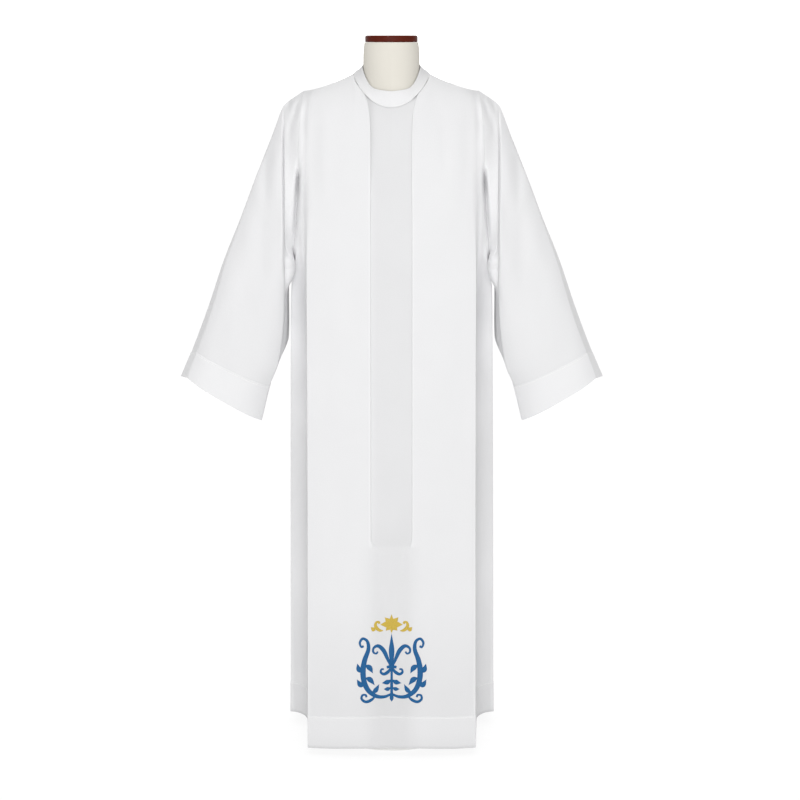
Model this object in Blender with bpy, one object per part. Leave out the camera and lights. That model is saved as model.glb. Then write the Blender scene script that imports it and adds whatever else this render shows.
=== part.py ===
"""Alb robe on a limbless dress form with a stand.

Metres, +Z up, the front of the robe faces -Y. The cloth is one thin wall per sewn piece: front, back, two
sleeves and a neckband. Each wall is a grid of points on a mid surface, moved out on both sides along its
normals. The mid surfaces are worked out from short tables of sections and a few driving dimensions.
"""
import bpy
import bmesh
import math
import numpy as np

# ---- Driving dimensions ------------------------------------------------------------------------------------

WALL = 0.0012                 # cloth
SEAM_GAP = 0.0003             # between two pieces that are sewn edge to edge
BAND_SEAM_GAP = 0.0008        # between the neckband and the neck edges, which meet it at an angle
HEM_EXTRA = 0.0012            # what a turned-up hem adds to the outside
HEM_STEP = 0.003              # height of the step at a hem's upper edge

HEM_FRONT = 0.020             # bottom edge above the floor, at the centre front
HEM_SIDE_RISE = 0.0085        # the bottom edge is this much higher at the side seams
HEM_BAND = 0.074              # depth of the turned-up hem
CUFF_START = 0.90             # where the cuff's turned-up hem starts along the sleeve, 1 at the cuff's edge

NECK_HALF_WIDTH = 0.083       # neck seam, from the centre to the shoulder seam
NECK_FRONT = -0.084
NECK_FRONT_HEIGHT = 1.4490
NECK_SIDE_HEIGHT = 1.5140
NECK_BACK = 0.073
NECK_BACK_HEIGHT = 1.5280

SHOULDER_TIP = 0.192          # end of the shoulder seam, where the sleeve starts
SHOULDER_TIP_HEIGHT = 1.4770
SHOULDER_CURVE = 1.5          # how hollow the shoulder line is
SHOULDER_START = 1.300        # the panels start to round over the shoulders at this height
UNDERARM_HEIGHT = 1.095

BAND_TOP_HALF_WIDTH = 0.0637  # upper edge of the neckband
BAND_TOP_FRONT = -0.0672
BAND_TOP_FRONT_HEIGHT = 1.4785
BAND_TOP_SIDE_HEIGHT = 1.5305
BAND_TOP_BACK = 0.0640
BAND_TOP_BACK_HEIGHT = 1.5520
BAND_WALL = 0.0020            # the neckband is double cloth

PLEAT_FOLD = 0.0468           # front folds of the centre inverted pleat, from the centre line
PLEAT_DEPTH = 0.040           # how far the hidden folds lie behind the front
PLEAT_DEPTH_LOST = 0.65       # share of that depth that is lost towards the neck seam
PLEAT_SPACING = 0.0025        # between the layers of the pleat
PLEAT_PRESSED = 0.0024        # the same at the neck seam, where the layers are sewn flat
PLEAT_FULL_AT = 0.850         # the hidden folds grow shallower below this height
PLEAT_OPENS_AT = 0.560        # they open out below this one
PLEAT_OPEN_AT = 0.500         # and are open here
PLEAT_LAYERED_AT = 0.530      # the layers stay apart down to here
PLEAT_EVEN_AT = 0.470         # and are one even slope here
PLEAT_LAST_DEPTH = 0.22       # share of their depth that is left where they open
PLEAT_FLAT_AT = 0.400         # below this only a shallow trough is left
PLEAT_TROUGH = 0.006          # its depth
TROUGH_REACH = 1.35           # its half width, in half widths of the pleat

BACK_FOLD_DEPTH = -0.005      # soft folds down the back
BACK_FOLDS = 3.0              # half waves of them between the centre line and the crease

FORM_DROP = 0.0016            # the form's shoulders under the cloth's mid surface
FORM_NECK_INSET = 0.012       # the form's neck seam lies this far inside the robe's, front and back
FORM_NECK_DROP = 0.010        # and this far below it
FORM_BOTTOM = 0.835
FORM_PLATE_BULGE = 0.07       # how far the closed armhole plate swells, as a share of its depth
NECK_TOP_HEIGHT = 1.5815
CAP_RADIUS = 0.0575
CAP_HEIGHT = 0.0145
CAP_EDGE = 0.0016

POLE_RADIUS = 0.0125
BASE_RADIUS = 0.165
BASE_THICKNESS = 0.010
BASE_EDGE = 0.002
HUB_RADIUS = 0.021
HUB_HEIGHT = 0.030
FIT_GAP = 0.0003              # between solids that rest on each other
ROUND_SEGMENTS = 32

# ---- Sections ----------------------------------------------------------------------------------------------
# Half sections of a panel at several heights. From the centre line a section runs to the pressed crease, back
# along the side wall, out to the side fold and round it to the side seam or, above the underarm, the armhole.

LEVEL_COLUMNS = ("height", "centre_y", "crease_x", "crease_y", "wall_x", "wall_y",
                 "fold_x", "fold_y", "seam_x", "seam_y")
FRONT_LEVELS = (
    (0.020, -0.1970, 0.1894, -0.1830, 0.1975, -0.035, 0.2400, 0.000, 0.2368, 0.020),
    (0.550, -0.1730, 0.1857, -0.1560, 0.1930, -0.040, 0.2335, 0.000, 0.2302, 0.020),
    (0.900, -0.1560, 0.1838, -0.1400, 0.1905, -0.045, 0.2284, 0.000, 0.2255, 0.020),
    (1.040, -0.1495, 0.1834, -0.1335, 0.1900, -0.056, 0.2250, -0.004, 0.2232, 0.020),
    (1.095, -0.1468, 0.1832, -0.1308, 0.1896, -0.066, 0.2160, -0.030, 0.2195, 0.020),
    (1.112, -0.1460, 0.1831, -0.1300, 0.1895, -0.071, 0.2125, -0.044, 0.2180, -0.022),
    (1.150, -0.1440, 0.1830, -0.1280, 0.1894, -0.082, 0.2050, -0.070, 0.2136, -0.063),
    (1.220, -0.1405, 0.1825, -0.1230, 0.1890, -0.092, 0.2000, -0.080, 0.2076, -0.075),
    (1.300, -0.1340, 0.1790, -0.1120, 0.1880, -0.095, 0.1965, -0.083, 0.2020, -0.079),
)
BACK_LEVELS = (
    (0.020, 0.1920, 0.1800, 0.1800, 0.2050, 0.110, 0.2350, 0.046, 0.2368, 0.020),
    (0.550, 0.1685, 0.1760, 0.1565, 0.1990, 0.100, 0.2290, 0.044, 0.2302, 0.020),
    (0.900, 0.1540, 0.1720, 0.1420, 0.1950, 0.094, 0.2245, 0.042, 0.2255, 0.020),
    (1.040, 0.1465, 0.1702, 0.1335, 0.1928, 0.092, 0.2195, 0.046, 0.2232, 0.020),
    (1.095, 0.1438, 0.1696, 0.1302, 0.1916, 0.092, 0.2150, 0.054, 0.2195, 0.020),
    (1.112, 0.1430, 0.1694, 0.1292, 0.1912, 0.093, 0.2130, 0.062, 0.2175, 0.046),
    (1.150, 0.1410, 0.1690, 0.1260, 0.1900, 0.093, 0.2070, 0.075, 0.2120, 0.066),
    (1.220, 0.1370, 0.1680, 0.1200, 0.1880, 0.092, 0.2020, 0.078, 0.2070, 0.074),
    (1.300, 0.1310, 0.1660, 0.1120, 0.1850, 0.090, 0.1960, 0.079, 0.2020, 0.075),
)
FORM_FRONT_LEVELS = (
    (0.835, -0.0980, 0.0900, -0.0840, 0.1250, -0.060, 0.1440, -0.030, 0.1500, 0.000),
    (0.930, -0.1060, 0.1000, -0.0940, 0.1400, -0.066, 0.1600, -0.034, 0.1660, 0.000),
    (1.110, -0.0940, 0.0860, -0.0820, 0.1180, -0.058, 0.1350, -0.030, 0.1400, 0.000),
    (1.220, -0.1120, 0.1020, -0.0980, 0.1380, -0.072, 0.1560, -0.040, 0.1620, -0.004),
    (1.300, -0.1180, 0.1100, -0.1060, 0.1500, -0.086, 0.1740, -0.068, 0.1840, -0.060),
)
FORM_BACK_LEVELS = (
    (0.835, 0.1080, 0.0900, 0.0940, 0.1250, 0.066, 0.1440, 0.034, 0.1500, 0.000),
    (0.930, 0.1180, 0.1000, 0.1040, 0.1400, 0.074, 0.1600, 0.038, 0.1660, 0.000),
    (1.110, 0.0880, 0.0860, 0.0790, 0.1180, 0.058, 0.1350, 0.030, 0.1400, 0.000),
    (1.220, 0.1060, 0.1020, 0.0970, 0.1380, 0.074, 0.1560, 0.044, 0.1620, 0.004),
    (1.300, 0.1140, 0.1100, 0.1060, 0.1500, 0.086, 0.1740, 0.068, 0.1840, 0.058),
)
CREASE = 0.60                 # places on a half section: 0 the centre line, 1 the side seam
WALL_FOOT = 0.75
SIDE_FOLD = 0.93
NECK_POINT = 0.29             # the neck seam ends here, and the shoulder seam starts
TOP_CREASE_X = 0.172          # where the crease would meet the shoulder seam
FLARE_HOLLOW = 1.7            # the front's side flare is hollow
FLARE_ROUND = 0.75            # the back's is rounded

# Rings of a sleeve. Each has four corners: the pressed crease and the inner fold of its front face, the heel
# (the inner edge of its rear face) and the rear edge. face_y and back_y are the middles of the two faces.
RING_COLUMNS = ("along", "crease_x", "crease_y", "crease_z", "face_y", "fold_x", "fold_y", "fold_z",
                "heel_x", "heel_y", "heel_z", "back_y", "rear_x", "rear_y", "rear_z")
SLEEVE_RINGS = (
    (0.00, 0.1925, -0.010, 1.4765, -0.072, 0.2200, 0.000, 1.097,
     0.2200, 0.030, 1.097, 0.070, 0.1925, 0.010, 1.4765),
    (0.10, 0.2345, -0.010, 1.4465, -0.076, 0.2318, -0.062, 1.102,
     0.2300, 0.040, 1.085, 0.073, 0.2345, 0.010, 1.4465),
    (0.13, 0.2405, -0.012, 1.4370, -0.087, 0.2352, -0.074, 1.092,
     0.2320, 0.042, 1.076, 0.074, 0.2412, 0.012, 1.4360),
    (0.22, 0.2595, -0.032, 1.3815, -0.090, 0.2358, -0.075, 1.064,
     0.2335, 0.043, 1.050, 0.075, 0.2640, 0.014, 1.3800),
    (0.35, 0.2979, -0.050, 1.2870, -0.088, 0.2368, -0.073, 1.033,
     0.2338, 0.042, 1.020, 0.075, 0.3045, 0.022, 1.2830),
    (0.50, 0.3309, -0.056, 1.1995, -0.084, 0.2390, -0.068, 0.990,
     0.2338, 0.040, 0.975, 0.075, 0.3400, 0.030, 1.1930),
    (0.62, 0.3647, -0.056, 1.1110, -0.080, 0.2440, -0.060, 0.940,
     0.2348, 0.036, 0.928, 0.074, 0.3780, 0.035, 1.1030),
    (0.76, 0.4005, -0.053, 0.9970, -0.074, 0.2560, -0.046, 0.872,
     0.2548, 0.022, 0.874, 0.071, 0.4190, 0.040, 0.9880),
    (0.90, 0.4370, -0.047, 0.9010, -0.067, 0.2770, -0.028, 0.820,
     0.2770, 0.012, 0.820, 0.066, 0.4600, 0.045, 0.8850),
    (1.00, 0.4595, -0.042, 0.8437, -0.062, 0.2973, -0.020, 0.741,
     0.2973, 0.010, 0.741, 0.062, 0.4848, 0.048, 0.8292),
)
ARMHOLE_FADE = 0.10           # the sleeve leaves the armhole's own curve by this place along it
UNDERARM_HALF = 2.3           # the underarm's middle line keeps near the heel: its power of the way to it

# Rows of every panel above SHOULDER_START, and of the armhole from the underarm up to the shoulder tip
SHOULDER_ROWS = (1.25, 1.5, 1.7, 1.86, 1.96, 2.0)
SIDE_BOTTOM = HEM_FRONT + HEM_SIDE_RISE
UNDERARM_ROW = (UNDERARM_HEIGHT - SIDE_BOTTOM) / (SHOULDER_START - SIDE_BOTTOM)
SLEEVE_FOLD_ROW = 0.850       # the corners of the sleeve's rings start at this row and at the last but one
ARMHOLE_ROWS = (UNDERARM_ROW, 0.8445, SLEEVE_FOLD_ROW, 0.866, 0.892, 0.940, 1.0) + SHOULDER_ROWS
FRONT_LOOPS = (1.5, 1.0, 0.0, -0.5)      # places on the armhole's loop: underarm, lower and upper corner, tip
BACK_LOOPS = (1.5, 2.0, 3.0, 3.5)
HEM_CREASE_X = FRONT_LEVELS[0][LEVEL_COLUMNS.index("crease_x")]
FOLD_ACROSS = PLEAT_FOLD / HEM_CREASE_X * CREASE

# The form's neck, from the neck seam to the cap. Each ring has its half width, its front and back, and its
# height at the front and at the back.
NECK_RINGS = (
    (0.0655, -0.0672, 0.0610, 1.4600, 1.5260),
    (0.0618, -0.0646, 0.0618, 1.4850, 1.5400),
    (0.0618, -0.0640, 0.0618, 1.5150, 1.5520),
    (0.0614, -0.0620, 0.0606, 1.5560, 1.5620),
    (0.0590, -0.0590, 0.0580, 1.5815, 1.5815),
)


# ---- Interpolation -----------------------------------------------------------------------------------------

def column(names, rows, name):
    """One named column of a table."""
    index = names.index(name)
    return np.array([row[index] for row in rows])


def smooth(places, values, at):
    """Cubic curve through the table's values that never overshoots them."""
    steps = np.diff(places)
    slopes = np.diff(values) / steps
    same_way = slopes[:-1] * slopes[1:] > 0.0
    total = np.where(same_way, slopes[:-1] + slopes[1:], 1.0)
    middle = np.where(same_way, 2.0 * slopes[:-1] * slopes[1:] / total, 0.0)
    tangents = np.concatenate((slopes[:1], middle, slopes[-1:]))
    at = np.clip(at, places[0], places[-1])
    span = np.clip(np.searchsorted(places, at, side="right") - 1, 0, len(steps) - 1)
    part = (at - places[span]) / steps[span]
    blend = part * part * (3.0 - 2.0 * part)
    lift = part * (1.0 - part) ** 2 * steps[span] * tangents[span]
    sink = part * part * (part - 1.0) * steps[span] * tangents[span + 1]
    return values[span] * (1.0 - blend) + values[span + 1] * blend + lift + sink


def ease(value, low, high):
    """0 below low, 1 above high, and an even S curve between."""
    part = np.clip((value - low) / (high - low), 0.0, 1.0)
    return part * part * (3.0 - 2.0 * part)


# ---- The panels' mid surfaces ------------------------------------------------------------------------------

def shoulder_height(x):
    """Height of the shoulder seam at a distance x from the centre line."""
    rest = np.clip((SHOULDER_TIP - x) / (SHOULDER_TIP - NECK_HALF_WIDTH), 0.0, 1.0)
    return SHOULDER_TIP_HEIGHT + (NECK_SIDE_HEIGHT - SHOULDER_TIP_HEIGHT) * rest ** SHOULDER_CURVE


def oval(angle, half_width, end_y, end_height, side_height):
    """Quarter of a neck line: angle 0 at the centre of the front or back, a right angle at the side."""
    rise = 0.5 * np.sin(angle) ** 2 + 0.5 * (1.0 - np.cos(angle))
    return half_width * np.sin(angle), end_y * np.cos(angle), end_height + (side_height - end_height) * rise


def top_edge(across, front, inset):
    """The neck seam up to the neck point, then the shoulder seam."""
    angle = np.clip(across / NECK_POINT, 0.0, 1.0) * math.pi / 2.0
    end_y = NECK_FRONT + inset if front else NECK_BACK - inset
    end_height = NECK_FRONT_HEIGHT if front else NECK_BACK_HEIGHT
    neck_x, neck_y, neck_z = oval(angle, NECK_HALF_WIDTH, end_y, end_height, NECK_SIDE_HEIGHT)
    seam_x = np.interp(across, (NECK_POINT, CREASE, 1.0), (NECK_HALF_WIDTH, TOP_CREASE_X, SHOULDER_TIP))
    on_neck = across < NECK_POINT
    x = np.where(on_neck, neck_x, seam_x)
    y = np.where(on_neck, neck_y, 0.0)
    z = np.where(on_neck, neck_z, shoulder_height(seam_x))
    return x, y, z


def section(levels, across, height):
    """Point (x, y) of a half section: a gently bowed face, a straight side wall, a flare and the seam."""
    heights = column(LEVEL_COLUMNS, levels, "height")
    value = {name: smooth(heights, column(LEVEL_COLUMNS, levels, name), height) for name in LEVEL_COLUMNS[1:]}
    hollow = FLARE_HOLLOW if levels is FRONT_LEVELS else FLARE_ROUND
    face = np.clip(across / CREASE, 0.0, 1.0)
    wall = np.clip((across - CREASE) / (WALL_FOOT - CREASE), 0.0, 1.0)
    flare = np.clip((across - WALL_FOOT) / (SIDE_FOLD - WALL_FOOT), 0.0, 1.0)
    turn = np.clip((across - SIDE_FOLD) / (1.0 - SIDE_FOLD), 0.0, 1.0)
    flare_out = flare ** hollow
    flare_back = 1.0 - (1.0 - flare) ** hollow
    x = value["crease_x"] * face
    x = x + (value["wall_x"] - value["crease_x"]) * wall
    x = x + (value["fold_x"] - value["wall_x"]) * flare_out
    x = x + (value["seam_x"] - value["fold_x"]) * turn
    y = value["centre_y"] + (value["crease_y"] - value["centre_y"]) * face ** 2
    y = y + (value["wall_y"] - value["crease_y"]) * wall
    y = y + (value["fold_y"] - value["wall_y"]) * flare_back
    y = y + (value["seam_y"] - value["fold_y"]) * turn
    return x, y


def hem_height(across):
    """The bottom edge is level across the front and rises a little to the sides."""
    return HEM_FRONT + HEM_SIDE_RISE * ease(across, CREASE, SIDE_FOLD)


def panel(levels, across, up, front, bottom=None, inset=0.0):
    """Mid surface of half a panel. up runs 0 to 1 from the hem to SHOULDER_START and 1 to 2 on to the top
    edge. Above SHOULDER_START the depth falls off as a quarter ellipse at the shoulder seam and as a parabola
    at the neck seam."""
    low = hem_height(across) if bottom is None else bottom
    top_x, top_y, top_z = top_edge(across, front, inset)
    rounding = np.clip(up - 1.0, 0.0, 1.0)
    height = low + (SHOULDER_START - low) * np.clip(up, 0.0, 1.0)
    x, y = section(levels, across, height)
    left = 1.0 - rounding ** 2
    power = np.interp(across, (0.0, NECK_POINT, CREASE), (1.0, 0.72, 0.5))
    depth = left ** power
    x = x + (top_x - x) * rounding ** 2
    y = top_y + (y - top_y) * depth
    height = height + (top_z - SHOULDER_START) * rounding
    return np.stack((x, y, height), axis=-1)


def inward(levels, across, up, front):
    """Unit normal of a panel's mid surface that points into the robe."""
    step = 0.004
    across = np.maximum(across, step)
    up = np.maximum(up, step)
    right = panel(levels, across + step, up, front) - panel(levels, across - step, up, front)
    above = panel(levels, across, up, front) - panel(levels, across, up - step, front)
    normal = np.cross(above, right) if front else np.cross(right, above)
    return normal / np.linalg.norm(normal, axis=-1, keepdims=True)


def front_panel(place, up):
    """Half of the front with its inverted pleat. place runs from the centre line, -1, over the hidden layers
    of the pleat to its front fold, 0, and on to the side seam, 1. The hidden part is an S of three layers
    that opens out below PLEAT_OPENS_AT, and the front goes on below it with a shallow trough."""
    face = FOLD_ACROSS + (1.0 - FOLD_ACROSS) * np.clip(place, 0.0, 1.0)
    low = hem_height(face)
    height = low + (SHOULDER_START - low) * np.clip(up, 0.0, 1.0)
    folded = ease(height, PLEAT_OPEN_AT, PLEAT_OPENS_AT)
    apart = ease(height, PLEAT_EVEN_AT, PLEAT_LAYERED_AT)
    layered = ease(height, PLEAT_FLAT_AT, PLEAT_OPEN_AT)
    near_neck = ease(up, 1.0, 2.0)
    spacing = PLEAT_SPACING + (PLEAT_PRESSED - PLEAT_SPACING) * near_neck
    turn = PLEAT_SPACING / PLEAT_FOLD * FOLD_ACROSS / 2.0
    left = PLEAT_LAST_DEPTH + (1.0 - PLEAT_LAST_DEPTH) * ease(height, PLEAT_OPENS_AT, PLEAT_FULL_AT)
    behind = FOLD_ACROSS * PLEAT_DEPTH / PLEAT_FOLD * (1.0 - PLEAT_DEPTH_LOST * near_neck) * left
    knots = (-1.0, -0.62, -0.58, -0.54, -0.06, -0.03, 0.0)
    reach = np.interp(place, knots, (0.0, 1.0, 1.0, 1.0, 0.0, 0.0, 0.0))
    turns = np.interp(place, knots, (0.0, -1.0, 0.0, -1.0, 1.0, 0.0, 1.0))
    start = np.interp(place, knots, (0.0, 1.0, 1.0, 1.0, 1.0, 1.0, 1.0))
    shut_across = start * FOLD_ACROSS + reach * behind + turns * turn
    open_across = np.interp(place, knots, (0.0, 0.45, 0.55, 0.65, 0.85, 0.95, 1.0)) * (FOLD_ACROSS + turn)
    hidden = shut_across * folded + open_across * (1.0 - folded)
    across = np.where(place <= 0.0, hidden, face + turn * (1.0 - np.clip(place / 0.02, 0.0, 1.0)))
    shut_layer = np.interp(place, knots, (2.0, 2.0, 1.6, 1.15, 0.85, 0.4, 0.0))
    open_layer = np.interp(place, knots, (2.0, 1.95, 1.85, 1.7, 0.3, 0.08, 0.0))
    depth = (shut_layer * apart + open_layer * (1.0 - apart)) * spacing
    off_centre = np.clip(across / FOLD_ACROSS / TROUGH_REACH, 0.0, 1.0)
    trough = PLEAT_TROUGH * np.cos(off_centre * math.pi / 2.0) ** 2
    depth = depth * layered + trough * (1.0 - layered)
    return panel(FRONT_LEVELS, across, up, True) + inward(FRONT_LEVELS, across, up, True) * depth[..., None]


def back_panel(across, up):
    """Half of the back, plain, with three soft folds that start under the shoulder blades."""
    point = panel(BACK_LEVELS, across, up, False)
    fall = ease(1.0 - up, 0.05, 0.7)
    wave = np.cos(across / CREASE * BACK_FOLDS * math.pi) * (across < CREASE)
    point[..., 1] += BACK_FOLD_DEPTH * fall * wave
    return point


# ---- The sleeves' mid surface ------------------------------------------------------------------------------

def edge_height(up):
    """Height of a place up a panel's side edge."""
    low = SIDE_BOTTOM + (SHOULDER_START - SIDE_BOTTOM) * np.clip(up, 0.0, 1.0)
    return low + (SHOULDER_TIP_HEIGHT - SHOULDER_START) * np.clip(up - 1.0, 0.0, 1.0)


def edge_up(height):
    """Place up a panel's side edge at a height, the inverse of edge_height."""
    low = np.clip((height - SIDE_BOTTOM) / (SHOULDER_START - SIDE_BOTTOM), 0.0, 1.0)
    return low + np.clip((height - SHOULDER_START) / (SHOULDER_TIP_HEIGHT - SHOULDER_START), 0.0, 1.0)


def armhole_corners():
    """Heights of the underarm, of the sleeve's two lower and two upper corners, and of the shoulder tip."""
    return UNDERARM_HEIGHT, edge_height(SLEEVE_FOLD_ROW), edge_height(ARMHOLE_ROWS[-2]), SHOULDER_TIP_HEIGHT


def armhole_places(loop):
    """Places up the front's and the back's side edge, and which of the two the loop is on. The loop runs
    down the front, under the arm, up the back and over the shoulder."""
    loop = np.mod(loop, 4.0)
    under, low, high, tip = armhole_corners()
    front_up = edge_up(np.interp(loop, (0.0, 1.0, 1.5, 3.49, 3.5, 4.0), (high, low, under, under, tip, high)))
    back_up = edge_up(np.interp(loop, BACK_LOOPS, armhole_corners()))
    return front_up, back_up, ((loop <= 1.5) | (loop >= 3.5))[..., None]


def armhole_loops(rows, front):
    """Loop places of the given rows of the front's or the back's side edge."""
    return np.interp(edge_height(np.array(rows)), armhole_corners(), FRONT_LOOPS if front else BACK_LOOPS)


def armhole(loop):
    """The body's armhole edge, once round."""
    front_up, back_up, on_front = armhole_places(loop)
    edge = np.ones_like(front_up)
    front_edge = panel(FRONT_LEVELS, edge, front_up, True)
    back_edge = panel(BACK_LEVELS, edge, back_up, False)
    return np.where(on_front, front_edge, back_edge)


def unit(vectors):
    """The same directions at length 1."""
    return vectors / np.linalg.norm(vectors, axis=-1, keepdims=True)


def armhole_mitre(loop):
    """The mean way over the armhole seam from the body to the sleeve, and the normal that both pieces share
    on the seam, so that their rims are parallel however sharply the two meet."""
    front_up, back_up, on_front = armhole_places(loop)
    edge = np.ones_like(front_up)
    front_in = inward(FRONT_LEVELS, edge, front_up, True)
    back_in = inward(BACK_LEVELS, edge, back_up, False)
    out = -np.where(on_front, front_in, back_in)
    step = 0.02
    along_seam = unit(armhole(loop + step) - armhole(loop - step))
    from_body = unit(np.cross(out, along_seam))
    away = sleeve_ring(np.full_like(loop, ARMHOLE_FADE), loop) - armhole(loop)
    to_sleeve = unit(away - along_seam * np.sum(away * along_seam, axis=-1, keepdims=True))
    over = unit(from_body + to_sleeve)
    return over, np.cross(along_seam, over)


def face_bow(part):
    """Flat in the middle, rounding off at both ends."""
    return 1.0 - np.abs(2.0 * part - 1.0) ** 3


def sleeve_ring(along, loop):
    """Point of the sleeve from its table of rings. loop: 0 crease, 1 inner fold, 2 heel, 3 rear edge."""
    loop = np.mod(loop, 4.0)
    places = column(RING_COLUMNS, SLEEVE_RINGS, "along")
    value = {}
    for name in RING_COLUMNS[1:]:
        value[name] = smooth(places, column(RING_COLUMNS, SLEEVE_RINGS, name), along)
    corners = ("crease", "fold", "heel", "rear", "crease")
    point = np.zeros(np.broadcast(along, loop).shape + (3,))
    for axis, letter in enumerate("xyz"):
        for side in range(4):
            part = np.clip(loop - side, 0.0, 1.0)
            part = 1.0 - (1.0 - part) ** UNDERARM_HALF if side == 1 else part
            inside = (loop >= side) & (loop < side + 1)
            start = value[corners[side] + "_" + letter]
            end = value[corners[side + 1] + "_" + letter]
            point[..., axis] = np.where(inside, start + (end - start) * part, point[..., axis])
    front_swell = value["face_y"] - 0.5 * (value["crease_y"] + value["fold_y"])
    back_swell = value["back_y"] - 0.5 * (value["heel_y"] + value["rear_y"])
    front_bow = face_bow(np.clip(loop, 0.0, 1.0)) * front_swell
    back_bow = face_bow(np.clip(loop - 2.0, 0.0, 1.0)) * back_swell
    point[..., 1] += np.where(loop < 1.0, front_bow, 0.0)
    point[..., 1] += np.where((loop >= 2.0) & (loop < 3.0), back_bow, 0.0)
    return point


def sleeve(along, loop):
    """The rings, blended into the armhole's own curve near the body, with the seam's gap."""
    along = np.asarray(along, dtype=float)
    loop = np.asarray(loop, dtype=float)
    fade = (np.clip(1.0 - along / ARMHOLE_FADE, 0.0, 1.0) ** 1.5)[..., None]
    start = armhole(loop) + armhole_mitre(loop)[0] * SEAM_GAP
    return sleeve_ring(along, loop) + (start - sleeve_ring(np.zeros_like(along), loop)) * fade


# ---- Walls from mid surfaces -------------------------------------------------------------------------------

def grid_normals(points, closed):
    """Unit normals of a grid of points by central differences; closed joins the last row to the first."""
    if closed:
        down = np.roll(points, -1, axis=0) - np.roll(points, 1, axis=0)
    else:
        down = np.gradient(points, axis=0)
    right = np.gradient(points, axis=1)
    normals = np.cross(down, right)
    return normals / np.linalg.norm(normals, axis=-1, keepdims=True)


def wall_object(name, points, normals, outside, inside, closed, material):
    """Closed wall: a grid moved out by outside and in by inside along its normals, with its rims bridged.
    Rows of the grid run across the piece, and columns along it."""
    skins = (points + normals * outside[..., None], points - normals * inside[..., None])
    rows, columns = points.shape[:2]
    mesh = bmesh.new()
    grids = [[[mesh.verts.new(skin[r, c]) for c in range(columns)] for r in range(rows)] for skin in skins]
    last = rows if closed else rows - 1
    for skin, grid in enumerate(grids):
        for r in range(last):
            for c in range(columns - 1):
                after = (r + 1) % rows
                corners = [grid[r][c], grid[after][c], grid[after][c + 1], grid[r][c + 1]]
                mesh.faces.new(corners if skin == 0 else corners[::-1])
    rims = []
    for c in (0, columns - 1):
        rims.append([(r, c, (r + 1) % rows, c) for r in range(last)])
    if not closed:
        for r in (0, rows - 1):
            rims.append([(r, c, r, c + 1) for c in range(columns - 1)])
    for rim in rims:
        for r, c, next_r, next_c in rim:
            near, far = (grids[0][r][c], grids[0][next_r][next_c]), (grids[1][next_r][next_c], grids[1][r][c])
            mesh.faces.new(near + far)
    return finish(name, mesh, material)


def finish(name, mesh, material):
    """Turn a bmesh into a named, smooth-shaded object with its faces pointing out."""
    bmesh.ops.triangulate(mesh, faces=mesh.faces)
    bmesh.ops.recalc_face_normals(mesh, faces=mesh.faces)
    data = bpy.data.meshes.new(name)
    mesh.to_mesh(data)
    mesh.free()
    data.materials.append(material)
    data.shade_smooth()
    data.set_sharp_from_angle(angle=math.radians(50.0))
    thing = bpy.data.objects.new(name, data)
    bpy.context.scene.collection.objects.link(thing)
    return thing


def hem_thickness(distance, band):
    """Outer half of the wall: thicker over a turned-up hem of that depth, stepping down over HEM_STEP."""
    inside_band = 1.0 - np.clip((distance - band) / HEM_STEP, 0.0, 1.0)
    return WALL / 2.0 + HEM_EXTRA * inside_band


def mirrored(half_places, make, up):
    """Both halves of a panel as one grid: the half is worked out once and mirrored over the centre line."""
    right = make(half_places[:, None] + 0.0 * up[None, :], up[None, :] + 0.0 * half_places[:, None])
    left = right[::-1].copy()
    left[..., 0] *= -1.0
    return np.concatenate((left, right[1:]), axis=0)


def panel_rows(skirt):
    """Places up a panel: the hem, its step, the given skirt rows, and the rows of the armhole."""
    reach = SHOULDER_START - HEM_FRONT
    hem = (0.0, HEM_BAND / reach, (HEM_BAND + HEM_STEP) / reach)
    return np.array(hem + tuple(skirt) + ARMHOLE_ROWS)


def square_seams(shape, across, up):
    """Which points of a panel lie on its side seams or its shoulder seams."""
    square = np.zeros(shape, dtype=bool)
    square[0] = up <= UNDERARM_ROW
    square[-1] = up <= UNDERARM_ROW
    square[:, -1] = np.abs(across) >= NECK_POINT
    return square


def panel_normals(points, square, up, front):
    """Normals of a whole panel. On the side and shoulder seams they have no Y part, so that the rims of front
    and back face each other squarely, and on the armholes they are shared with the sleeves."""
    normals = grid_normals(points, False) * (1.0 if front else -1.0)
    normals[..., 1] = np.where(square, 0.0, normals[..., 1])
    normals = unit(normals)
    rows = up >= UNDERARM_ROW
    shared = armhole_mitre(armhole_loops(up[rows], front))[1]
    normals[-1, rows] = shared
    normals[0, rows] = shared * np.array((-1.0, 1.0, 1.0))
    return normals


# ---- Pieces ------------------------------------------------------------------------------------------------

def make_material(name, colour, roughness, metallic=0.0):
    """Principled material with one colour."""
    material = bpy.data.materials.new(name)
    material.use_nodes = True
    shader = material.node_tree.nodes["Principled BSDF"]
    shader.inputs["Base Color"].default_value = (*colour, 1.0)
    shader.inputs["Roughness"].default_value = roughness
    shader.inputs["Metallic"].default_value = metallic
    return material


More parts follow.
